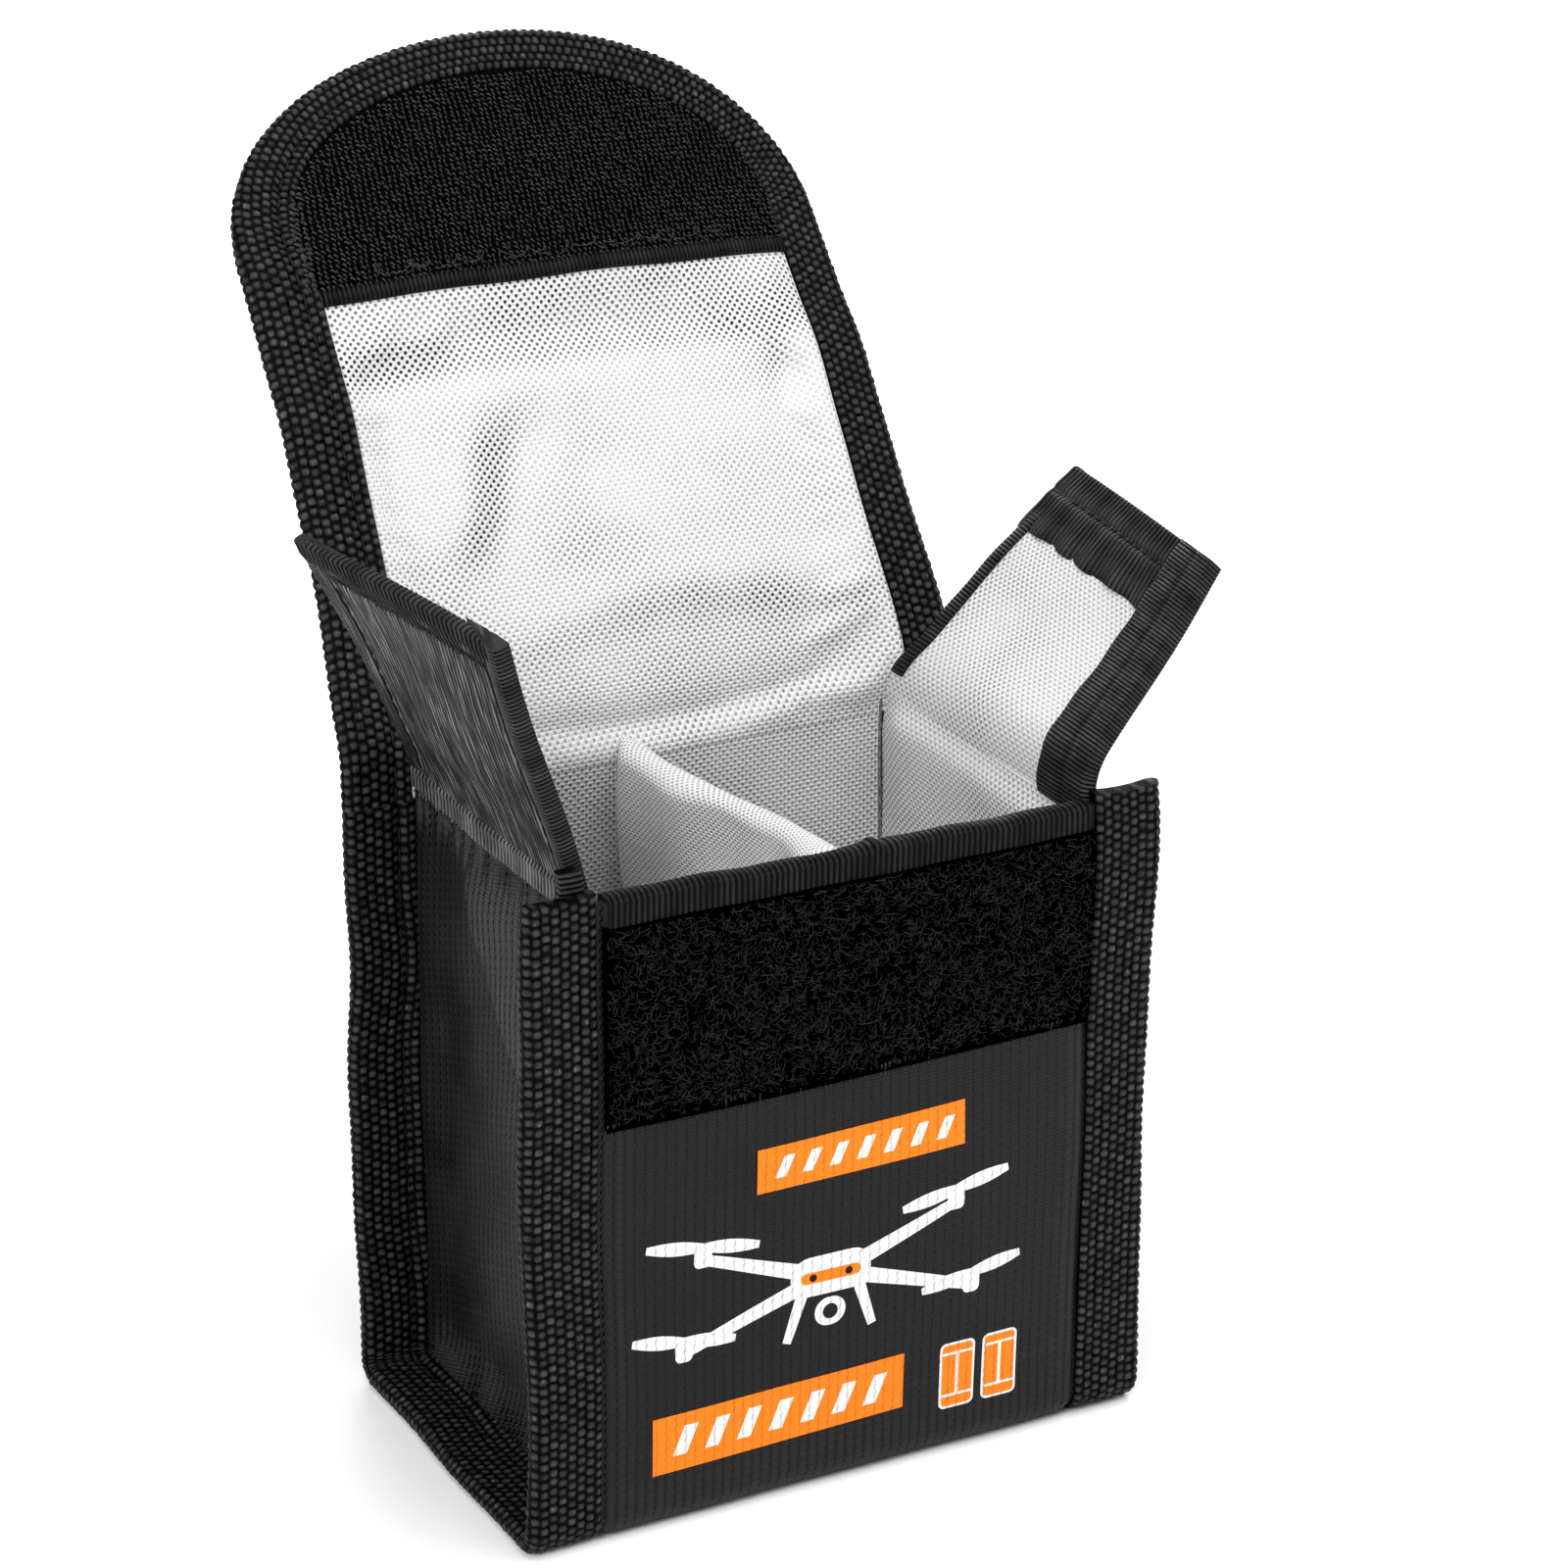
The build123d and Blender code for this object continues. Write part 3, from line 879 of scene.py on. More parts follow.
def body_bindings():
    """Tape over the seam allowances, down each front corner, along the base and up the back."""
    made, seams = [], []
    for side, sign in (("left", -1), ("right", 1)):
        u = steps(-1.4, strip_length + neck_bottom + 0.3, 0.27)
        steady = smooth(u, u[-1] - 5, u[-1] - 30)
        wobble = (0.35 * np.sin(u / 13 + sign) + 0.15 * np.sin(u / 4.7) - 0.3) * steady
        path = np.stack([sign * (fin_edge + wobble), u], axis=1)
        inward = np.stack([np.full(len(u), -float(sign)), np.zeros(len(u))], axis=1)
        width = fin_width + 0.4 * steady + wobble

        def place(x, u, lift):
            out = (sign * x - half_width) / fin_width
            end = smooth(u, 4, -1.4)
            return on_strip(x, u + 0.5 * end * np.sin(out * 3), fin_inset - lift * (1 - 0.2 * end))

        sewn = 0.15 + 0.85 * smooth(u, wall, back_start)
        tape = folded_tape(f"{side}_body_binding", place, path, inward, width, u, sewn)
        nodes = [f"{side}_{stretch}_binding" for stretch in ("front", "base", "back")]
        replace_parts(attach(tape, "bag"), *nodes)
        line_u = steps(1, strip_length + neck_bottom - 1, 1.5)
        line_x = sign * (half_width + stitch_inset)
        for lift in (0.92, -0.92):
            seams.append(on_strip(line_x, line_u, fin_inset - lift))
        made.append(tape)
    made.append(stitches("body_binding_stitches", seams, "bag"))
    return made


def rim_hem():
    """Ribbed tape folded over the front rim, with the kink where its two ends overlap."""
    rim_pitch = 0.9
    tall = 0.85 * (rim - low("front_rim_hem").z)
    half = high("front_rim_hem").x
    leg = np.linspace(1, 0, 16)[:-1]
    turn = np.linspace(0, pi, 9)
    outer_lift, inner_lift = -0.5, lining_face + 0.45
    centre, radius = (outer_lift + inner_lift) / 2, (inner_lift - outer_lift) / 2
    outside, inside = np.full(leg.shape, outer_lift), np.full(leg.shape, inner_lift)
    inset = np.concatenate([outside, centre - radius * np.cos(turn), inside])
    down = np.concatenate([leg * tall, -0.7 * np.sin(turn), leg[::-1] * tall])
    x = steps(-half, half, 0.18)
    column, row = np.meshgrid(down, x)
    cord = cords(row, rim_pitch) * (0.8 + 0.2 * np.sin(row * 1.3))
    kink = 0.5 * hump(row - 3.5, 0.9) - 0.3 * hump(row - 5.0, 0.8)
    sway = 0.2 * np.sin(row / 6) + 0.12 * np.sin(row / 2.1)
    down_at = column - (kink + sway) * smooth(column, tall * 0.8, 0)
    outwards = np.sign(inset - centre) * smooth(np.abs(inset - centre), 0, radius)
    inset_at = inset + outwards * (0.16 * cord + 0.12 * np.sin(row / 3.3))
    points = on_strip(row, down_at, inset_at)
    cloth = np.stack([row * 0.74 / rim_pitch, column], axis=-1)
    hem = close_tape("front_rim_tape", points, cloth, cord, dark_ribbon_finish)
    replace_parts(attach(hem, "bag"), "front_rim_hem")
    return hem


def loop_tape():
    """Loop side of the closure: a ground with a selvage, and thousands of curly loops."""
    z_low, z_high = low("loop_tape").z, high("loop_tape").z + 0.5
    half = high("loop_tape").x
    rows, columns = steps(rim - z_high, rim - z_low, 0.3), steps(-half, half, 0.36)
    u, x = sheet_grid(rows, columns)
    edge = smooth(np.minimum(u - rows[0], rows[-1] - u), 0, 1.6)
    selvage = (1 - edge) * 0.28 * cords(x, 0.8)
    lump = 0.25 * ripple(u * 3, x * 3, 31) * edge
    outer = on_strip(x, u, -0.35 - 0.45 * edge - selvage - lump)
    inner = on_strip(x, u, 0.05)
    ground = slab("loop_ground", outer, inner, np.stack([x, u], axis=-1), pile_finish)
    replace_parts(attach(ground, "bag"), "loop_tape")
    return ground, loop_pile(half, rows[0], rows[-1]), loop_selvage(half, rows[-1])


def loop_pile(half, top, bottom):
    """Loops of fine fibre that curl over the tape's ground, each its own way."""
    count, parts = 5200, 8
    x0 = rng.uniform(-half + 0.8, half - 0.8, count)
    u0 = rng.uniform(top + 0.7, bottom - 1.7, count)
    heading = rng.uniform(0, tau, count)
    curl = rng.uniform(-1.9, 1.9, count)
    size = rng.uniform(0.5, 1.15, count)
    tall = rng.uniform(0.25, 0.85, count)
    t = np.linspace(0, 1, parts)
    bearing = heading[:, None] + curl[:, None] * t
    stride = size[:, None] * 2.1 / parts
    x = x0[:, None] + np.cumsum(np.cos(bearing) * stride, axis=1)
    u = u0[:, None] + np.cumsum(np.sin(bearing) * stride, axis=1)
    x, u = np.clip(x, -half + 0.3, half - 0.3), np.clip(u, top + 0.4, bottom - 1.2)
    rise = 0.75 + tall[:, None] * np.sin(pi * t) ** 0.7
    paths = on_strip(x, u, -rise)
    radii = np.full(paths.shape[:2], 0.05) * rng.uniform(0.8, 1.2, (count, 1))
    loops = tube_mesh("loop_pile", paths, radii, 3, loop_finish)
    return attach(loops, "bag")


def loop_selvage(half, bottom):
    """Short cords of the tape's woven lower edge."""
    x = np.arange(-half + 0.3, half - 0.2, 0.78)
    x = x + rng.uniform(-0.12, 0.12, len(x))
    t = np.linspace(0, 1, 5)
    start = bottom - 1.5 + rng.uniform(-0.25, 0.25, len(x))
    u = start[:, None] + t * rng.uniform(1.0, 2.2, len(x))[:, None]
    lean = rng.uniform(-0.25, 0.25, len(x))[:, None]
    paths = on_strip(x[:, None] + lean * t, u, -0.62 + 0.35 * t)
    radii = np.broadcast_to(0.15 * (1 - 0.5 * t), paths.shape[:2])
    cords = tube_mesh("loop_selvage", paths, radii, 5, selvage_finish)
    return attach(cords, "bag")


def divider():
    """Padded wall between the compartments, thick and round along its top, sewn in at its ends."""
    front = low("divider_cover").y + 0.3
    back = high("divider_cover").y - 0.2
    bottom = low("divider_cover").z + 0.3
    half = high("divider_cover").x + 0.35
    top = high("divider_cover").z - 0.3
    rows = steps(front, back, 0.8)
    turn = np.linspace(0, pi, 17)
    wall_rise = np.linspace(0, 1, 70)[:-1]
    face, flat = np.ones(wall_rise.shape), np.zeros(wall_rise.shape)
    across = np.concatenate([-face, -np.cos(turn), face])
    tall = np.concatenate([wall_rise, np.ones(turn.shape), wall_rise[::-1]])
    crest = np.concatenate([flat, np.sin(turn), flat])
    y, a = sheet_grid(rows, across)
    share = (y - front) / (back - front)
    offset = -1.0 - 4.4 * smooth(share, 0.25, 1.0) + 0.8 * np.sin(share * 5.2)
    pinch = smooth(np.minimum(share, 1 - share), 0, 0.07)
    thick = half * (0.35 + 0.65 * pinch) * (1 + 0.12 * np.sin(share * 21) * pinch)
    height = top + 0.3 - 1.5 * np.sin(pi * share) ** 1.2 - 0.8 * share - thick * 0.9
    level = bottom + (height - bottom) * tall
    z = level + thick * 0.9 * crest
    lean = smooth(z, bottom, top)
    swell = 1 + 0.16 * np.sin(z / 7 + share * 9) * (1 - crest)
    points = np.stack([offset * lean + a * thick * swell, y, z], axis=-1)
    cloth = np.stack([y, lengths(points)], axis=-1)
    piece = close_tape("padded_divider", points, cloth, np.zeros(y.shape), divider_finish)
    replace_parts(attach(piece, "bag"), "divider_cover", "divider_padding")
    return piece


# ---------------------------------------------------------------------------
# Lid
# ---------------------------------------------------------------------------


def draped(start, pinned, slack, push, frames=26):
    """Cloth simulation of a grid of points, held where pinned is 1. Returns where they come to rest."""
    grown = 0.01
    rows, columns = start.shape[:2]
    mesh = bpy.data.meshes.new("draping")
    mesh.from_pydata((start.reshape(-1, 3) * grown).tolist(), [], grid_quads(rows, columns).tolist())
    piece = bpy.data.objects.new("draping", mesh)
    bpy.context.scene.collection.objects.link(piece)
    held = piece.vertex_groups.new(name="held")
    for number, weight in enumerate(pinned.ravel()):
        held.add([number], float(weight), "REPLACE")
    cloth = piece.modifiers.new("cloth", "CLOTH").settings
    cloth.quality = 7
    cloth.mass = 0.12
    cloth.tension_stiffness = cloth.compression_stiffness = 18
    cloth.shear_stiffness = 6
    cloth.bending_stiffness = 1.2
    cloth.vertex_group_mass = "held"
    cloth.shrink_min = -slack
    cloth.use_pressure = True
    cloth.uniform_pressure_force = push
    scene = bpy.context.scene
    scene.frame_start, scene.frame_end = 1, frames
    for number in range(1, frames + 1):
        scene.frame_set(number)
    settled = piece.evaluated_get(bpy.context.evaluated_depsgraph_get())
    rest = np.empty(rows * columns * 3, np.float32)
    settled.data.vertices.foreach_get("co", rest)
    scene.frame_set(1)
    bpy.data.objects.remove(piece)
    bpy.data.meshes.remove(mesh)
    return rest.reshape(start.shape) / grown


def sampled(table, row_at, column_at):
    """Value of a table between its cells, at fractional row and column numbers."""
    row_at = np.clip(row_at, 0, table.shape[0] - 1.001)
    column_at = np.clip(column_at, 0, table.shape[1] - 1.001)
    i, j = row_at.astype(int), column_at.astype(int)
    a, b = row_at - i, column_at - j
    upper = table[i, j] * (1 - b) + table[i, j + 1] * b
    lower = table[i + 1, j] * (1 - b) + table[i + 1, j + 1] * b
    return upper * (1 - a) + lower * a


def settled_lining():
    """How far the lid's lining stands off the lid once its slack has settled, as a table of s and share."""
    rows, shares = np.linspace(neck_bottom, patch_start + 1, 66), np.linspace(0, 1, 80)
    s, share = sheet_grid(rows, shares)
    x = lid_columns(s, share)
    flat = on_lid(x, s, 0.0)
    out = unit(on_lid(x, s, 1.0) - flat)
    folds = dents(s, x)
    sides = np.minimum(share, 1 - share) * lid_width - 5
    border = np.minimum(sides, np.minimum(s - neck_bottom, patch_start - s))
    rest = draped(flat + out * folds[..., None], 1 - smooth(border, 0.5, 3.0), 0.012, 0.12)
    return np.clip(((rest - flat) * out).sum(axis=-1), -2.5, 3.5)


def dents(s, x):
    """Folds and dents of the lid's lining, in millimetres."""
    fade = smooth(s, 6, 14) * (1 - smooth(s, 64, 68)) * smooth(lid_edge - np.abs(x), 8, 14)
    ridge = hump(x + 25 - 0.25 * (s - 30), 4.0) * smooth(s, 24, 34) * (1 - smooth(s, 44, 56))
    valley = hump(x + 17 - 0.3 * (s - 30), 4.5) * smooth(s, 20, 34) * (1 - smooth(s, 42, 52))
    arc = hump(s - 19 + ((x - 8) / 13) ** 2, 4.5) * smooth(x, -30, -5)
    dimple = hump(x - 35, 3.5) * hump(s - 49, 4.5)
    swell = hump(x + 30, 8) * hump(s - 61, 3.5)
    folds = 0.9 * (ridge + arc + swell) - 1.1 * valley - 1.2 * dimple
    return fade * (folds + 0.3 * ripple(s, x, 17))


def lid_sheen_and_shade(s, x):
    """Painted light on the lid lining's silver coat: a painted sheen in its middle and low down, less
    towards its top, and painted shade where folds turn away.
    """
    middle = 0.75 * smooth(s, 24, 34) * (1 - smooth(s, 53, 57))
    low_down = 0.45 * (1 - smooth(s, 22, 34))
    top = -0.25 * smooth(s, 53, 58)
    # Painted shade where the folds tilt away.
    tilt_x = dents(s, x + 1) - dents(s, x - 1)
    tilt_s = dents(s + 1, x) - dents(s - 1, x)
    return middle + low_down + top - np.clip(1.7 * (tilt_s - 0.8 * tilt_x), -0.2, 1.2)


def lid_columns(s, share):
    """Place across the lid for a share from one side of its lining to the other."""
    edge = edge_at(s) - lining_inset
    return -edge + 2 * edge * share


def edge_at(s):
    """Half the lid's width at a length up from the rim, before the arch."""
    return lid_edge + (fin_edge - lid_edge) * (1 - smooth(s, 0, 30))


def lid_layer(name, s_from, s_to, lifts, material, relief):
    """Layer of the neck or the lid, which lies flush with the strip's own layers at the back wall."""
    s, share = sheet_grid(steps(s_from, s_to, 1.0), np.linspace(0, 1, int(lid_width)))
    x = lid_columns(s, share)
    rise = relief(s, x)
    cloth = np.stack([s + strip_length, x, lid_sheen_and_shade(s, x)], axis=-1)
    under = tucked(s, x)
    level = smooth(s, 10, neck_bottom)
    flush = (lining_face - fin_inset) / 0.95 - 1
    rows = []
    for lift in lifts:
        lift = lift * (1 + level * (0.75 * (lift < -0.5) + flush * (lift > 0.5)))
        rows.append(on_lid(x, s, (lift + rise) * under))
    top, bottom = rows
    return slab(name, top, bottom, cloth, material)


def arch_height(x, inset):
    """Length up from the rim of the lid's round end, at a distance inside its edge."""
    half, rise = lid_edge - inset, lid_end - inset - arch_start
    return arch_start + rise * np.sqrt(np.clip(1 - (x / half) ** 2, 0, None))


def arched_layer(name, s_from, inset, lifts, material, relief, step=1.0):
    """Layer of the lid's end, whose top follows the arch."""
    x = (lid_edge - inset) * np.sin(np.linspace(-pi / 2, pi / 2, int(lid_width / step)))
    share, across = sheet_grid(np.linspace(0, 1, int(42 / step)), x)
    s = s_from + (arch_height(across, inset) - s_from) * share
    rise = relief(s, across)
    cloth = np.stack([s + strip_length, across], axis=-1)
    under = tucked(s, across)
    top, bottom = (on_lid(across, s, (lift + rise) * under) for lift in lifts)
    return slab(name, top, bottom, cloth, material)


def border_width(s, x):
    """Width of the lid's border tape, which is narrowest over the round end."""
    over = smooth(s, arch_start - 8, lid_end - 8)
    side = border_left + (border_right - border_left) * smooth(x, -20, 20)
    return side * (1 - over) + border_top * over


def lid_path():
    """Line of the lid's edge in the flat, up the left side, over the arch and down the right."""
    s = steps(neck_bottom, arch_start, 0.27)
    left = np.stack([-edge_at(s), s], axis=1)
    angle = np.linspace(pi, 0, 800)
    arch_s = arch_start + (lid_end - arch_start) * np.sin(angle)
    arch = np.stack([lid_edge * np.cos(angle), arch_s], axis=1)
    run = lengths(arch)
    at = steps(0, run[-1], 0.27)[1:-1]
    arch = np.stack([np.interp(at, run, arch[:, k]) for k in range(2)], axis=1)
    path = np.concatenate([left, arch, left[::-1] * [-1, 1]])
    tangent = unit(np.gradient(path, axis=0))
    inward = np.stack([tangent[:, 1], -tangent[:, 0]], axis=1)
    return path, inward, border_width(path[:, 1], path[:, 0]), lengths(path)


def tucked(s, x):
    """1 in the open, and small where the lid's layers are squeezed under its border tape."""
    rise = lid_end - arch_start
    above = np.clip(s - arch_start, 0, None)
    round_share = np.hypot(x / lid_edge, above / rise)
    slope = np.hypot(x / lid_edge**2, above / rise**2)
    from_arch = (1 - round_share) * round_share / np.maximum(slope, 1e-9)
    distance = np.where(s > arch_start, from_arch, edge_at(s) - np.abs(x))
    width = border_width(s, x)
    return 0.3 + 0.7 * smooth(distance, width - 1.6, width + 0.8)


def lid_blend(piece, part):
    """Bakes a piece's placement into its mesh. The joint's bodies and turning places for the part are worked
    out but not used.
    """
    first, second, *places = {
        "neck": ("bag", "lid_neck", -5.5, 2.5),
        "lid": ("lid_neck", "lid", 3.5, 11.0),
        "tip": ("lid", "lid_tip", 59.5, 67.5),
    }[part]
    start, end = (on_lid(0.0, place, 0.0) * MM for place in places)
    if part == "neck":
        start[1] = end[1]
    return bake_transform(piece)


def lid_tapes():
    """Tape round the lid's edge, in pieces that part where the lid bends."""
    path, inward, width, run = lid_path()
    s = path[:, 1]
    sewn = 0.3 + 0.7 * smooth(-path[:, 0], 20, 45)
    rising = np.arange(len(path)) < len(path) // 2
    parts = {
        "neck_left": (rising & (s <= neck_top), "neck", "neck_left_binding"),
        "neck_right": (~rising & (s <= neck_top), "neck", "neck_right_binding"),
        "lid_left": (rising & (s >= neck_top - 0.4) & (s <= lid_top), "lid", "lid_left_binding"),
        "lid_right": (~rising & (s >= neck_top - 0.4) & (s <= lid_top), "lid", "lid_right_binding"),
        "tip": (s >= lid_top - 0.4, "tip", "tip_binding"),
    }
    made = []
    for name, (chosen, part, node) in parts.items():
        rows = (path[chosen], inward[chosen], width[chosen], run[chosen], sewn[chosen])
        tape = folded_tape(f"{name}_tape", on_lid, *rows)
        lid_blend(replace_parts(tape, node), part)
        made.append(tape)
        line = path[chosen] + inward[chosen] * (width[chosen] - stitch_inset)[:, None]
        lines = [on_lid(line[::4, 0], line[::4, 1], lift) for lift in (0.98, -0.98)]
        thread = stitches(f"{name}_tape_stitches", lines)
        made.append(lid_blend(thread, part))
    return made


def lid_cloths():
    """Outer cloth and lining of the neck, the lid and its tip."""
    made = {}
    inside, outside = (0.95, 0.1), (-0.1, -0.9)
    table = settled_lining()

    def relief(s, x):
        """How the lining stands up: its folds, and how its slack has settled."""
        row = (s - neck_bottom) / (patch_start + 1 - neck_bottom) * (table.shape[0] - 1)
        edge = edge_at(s) - lining_inset
        column = (x + edge) / (2 * edge) * (table.shape[1] - 1)
        return 0.6 * dents(s, x) + sampled(table, row, column)

    def backing(s, x):
        """The outer cloth gives way where the lining is pushed back, short of the hook patch."""
        return np.minimum(relief(s, x), 0) * (1 - smooth(s, patch_start - 4, patch_start))

    for part, s_from, s_to in (("neck", neck_bottom, neck_top), ("lid", neck_top, lid_top)):
        lining = lid_layer(f"{part}_glass", s_from, s_to, inside, lining_finish, relief)
        cloth = lid_layer(f"{part}_cloth", s_from, s_to, outside, outer_finish, backing)
        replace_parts(lining, f"{part}_lining")
        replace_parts(cloth, f"{part}_panel")
        made[part] = (cloth, lining)
    lining = lid_layer("tip_glass", lid_top, patch_start + 1, inside, lining_finish, relief)
    cloth = arched_layer("tip_cloth", lid_top, cloth_inset, outside, outer_finish, backing)
    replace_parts(lining, "tip_lining")
    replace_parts(cloth, "tip_panel")
    made["tip"] = (cloth, lining)
    for part, (cloth, lining) in made.items():
        lid_blend(cloth, part)
        lid_blend(lining, part)
    return made


def hook_patch():
    """Hook side of the closure on the lid's tip: knitted ground, a ribbed hem, hooks and loose threads."""

    def lumpy(s, x):
        return 0.18 * ripple(s * 2, x * 2, 41)

    lifts = (1.45, 0.7)
    patch = arched_layer("hook_ground", patch_start, lining_inset, lifts, hook_finish, lumpy, 0.8)
    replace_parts(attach(patch, "lid_tip"), "hook_patch")
    half = lid_edge - 8.5
    return patch, hook_hem(half), hook_stubs(half), loose_threads()


def hook_hem(half):
    """Ribbed tape along the patch's straight lower edge."""
    rows, columns = steps(patch_start - 0.2, patch_start + 2.5, 0.3), steps(-half, half, 0.18)
    s, x = sheet_grid(rows, columns)
    cord = cords(x + 0.4 * (s - patch_start), 0.74)
    edge = smooth(np.minimum(s - rows[0], rows[-1] - s), 0, 0.6)
    waviness = 0.12 * np.sin(x / 4.3)
    under = tucked(s, x)
    top = on_lid(x, s + waviness, (1.45 + 0.3 * edge + 0.2 * cord * edge) * under)
    bottom = on_lid(x, s + waviness, 0.7 * under)
    hem = slab("hook_hem", top, bottom, np.stack([x, s], axis=-1), dark_ribbon_finish)
    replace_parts(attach(hem, "lid_tip"), "hook_patch_hem")
    return hem


def hook_stubs(half):
    """Rows of short bent hooks, each a little out of line."""
    along = np.arange(patch_start + 2.6, lid_end - 7.2, 0.8)
    s0, x0 = sheet_grid(along, np.arange(-half - 1, half + 1, 0.95))
    x0 = x0 + 0.12 * (s0 - patch_start)
    x0 = (x0 + half) % (2 * half) - half
    keep = s0 < arch_height(x0, 8.0)
    s0, x0 = s0[keep], x0[keep]
    s0, x0 = s0 + rng.uniform(-0.12, 0.12, len(s0)), x0 + rng.uniform(-0.12, 0.12, len(x0))
    t = np.linspace(0, 1, 4)
    tall = rng.uniform(0.3, 0.6, len(s0))[:, None]
    x = x0[:, None] + rng.uniform(-0.1, 0.5, len(s0))[:, None] * t
    s = s0[:, None] - 0.6 * t
    paths = on_lid(x, s, 1.4 + tall * np.sin(pi * t * 0.8))
    radii = np.broadcast_to(np.array([0.17, 0.17, 0.15, 0.1]), paths.shape[:2])
    hooks = tube_mesh("hook_stubs", paths, radii, 3, hook_stub_finish)
    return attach(hooks, "lid_tip")


def loose_threads():
    """Fine threads pulled loose along the patch's lower edge."""
    t = np.linspace(0, 1, 26)
    paths = []
    for x_start in np.arange(-31, 29, 3.4) + rng.uniform(-1.5, 1.5, 18):
        reach, size, turns = rng.uniform(2.0, 6.5), rng.uniform(0.35, 1.0), rng.uniform(0.8, 1.7)
        turn = t * tau * turns + x_start
        x = x_start + reach * t + size * np.sin(turn)
        s = patch_start + 2.7 + size * (1 - np.cos(turn)) * 0.7 + 0.8 * np.sin(pi * t)
        paths.append(on_lid(x, s, 1.9 + 0.5 * np.sin(pi * t)))
    paths = np.array(paths)
    loose = tube_mesh("loose_threads", paths, np.full(paths.shape[:2], 0.06), 5, loose_finish)
    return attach(loose, "lid_tip")


# ---------------------------------------------------------------------------
# Side flaps
# ---------------------------------------------------------------------------


def crumple(piece):
    """Gives a flap's piece a mesh of its own."""
    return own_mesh(piece)


def flap_blend(piece):
    """Bakes a piece's placement into its mesh."""
    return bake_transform(piece)


def ribbon(name, place, path, inward, legs, lifts, coarse):
    """Ribbed tape folded over a flap's edge, stitched along it, wider on the lining's side."""
    outer_rows, inner_rows, fold_reach = 14, 30, 0.35
    run = lengths(path)
    at = steps(0, run[-1], 0.17)
    path = np.stack([np.interp(at, run, path[:, k]) for k in range(2)], axis=1)
    outer_leg, inner_leg = legs
    outer_lift, inner_lift = lifts
    centre, radius = (outer_lift + inner_lift) / 2, (outer_lift - inner_lift) / 2
    turn = np.linspace(0, pi, 7)[1:-1]
    out_a = np.linspace(outer_leg, fold_reach, outer_rows)
    in_a = np.linspace(fold_reach, inner_leg, inner_rows)
    out_b, in_b = np.full(outer_rows, outer_lift), np.full(inner_rows, inner_lift)
    a = np.concatenate([out_a, fold_reach * (1 - np.sin(turn)), in_a])
    b = np.concatenate([out_b, centre + radius * np.cos(turn), in_b])
    face = np.sign(b - centre)
    u, a2 = sheet_grid(at, a)
    b2 = np.broadcast_to(b, u.shape).copy()
    hem_pitch, swell = (1.15, 1.0) if coarse else (0.62, 0.4)
    cord = cords(u + 0.12 * np.sin(a2), hem_pitch)
    valley = hump(a2 - flap_seam, 0.55)
    border = smooth(a2, inner_leg - 0.8, inner_leg)
    puff = swell * (0.28 * np.sin(pi * np.clip(a2 / inner_leg, 0, 1)) + 0.24 * cord * (1 - border))
    gather = 0.22 * swell * np.sin(u / 1.3 + np.sin(u / 5.1)) * smooth(a2, flap_seam, inner_leg)
    b2 += face * (puff + gather - 0.4 * swell * valley)
    waviness = swell * (0.15 * np.sin(u / 3.7) + 0.13 * np.sin(u / 1.3))
    flat = path[:, None, :] + inward * (a2 + waviness * smooth(a2, inner_leg / 2, inner_leg))[..., None]
    points = place(flat[..., 0], flat[..., 1], b2)
    cloth = np.stack([u * 0.74 / hem_pitch, a2], axis=-1)
    return close_tape(name, points, cloth, cord, ribbon_finish)


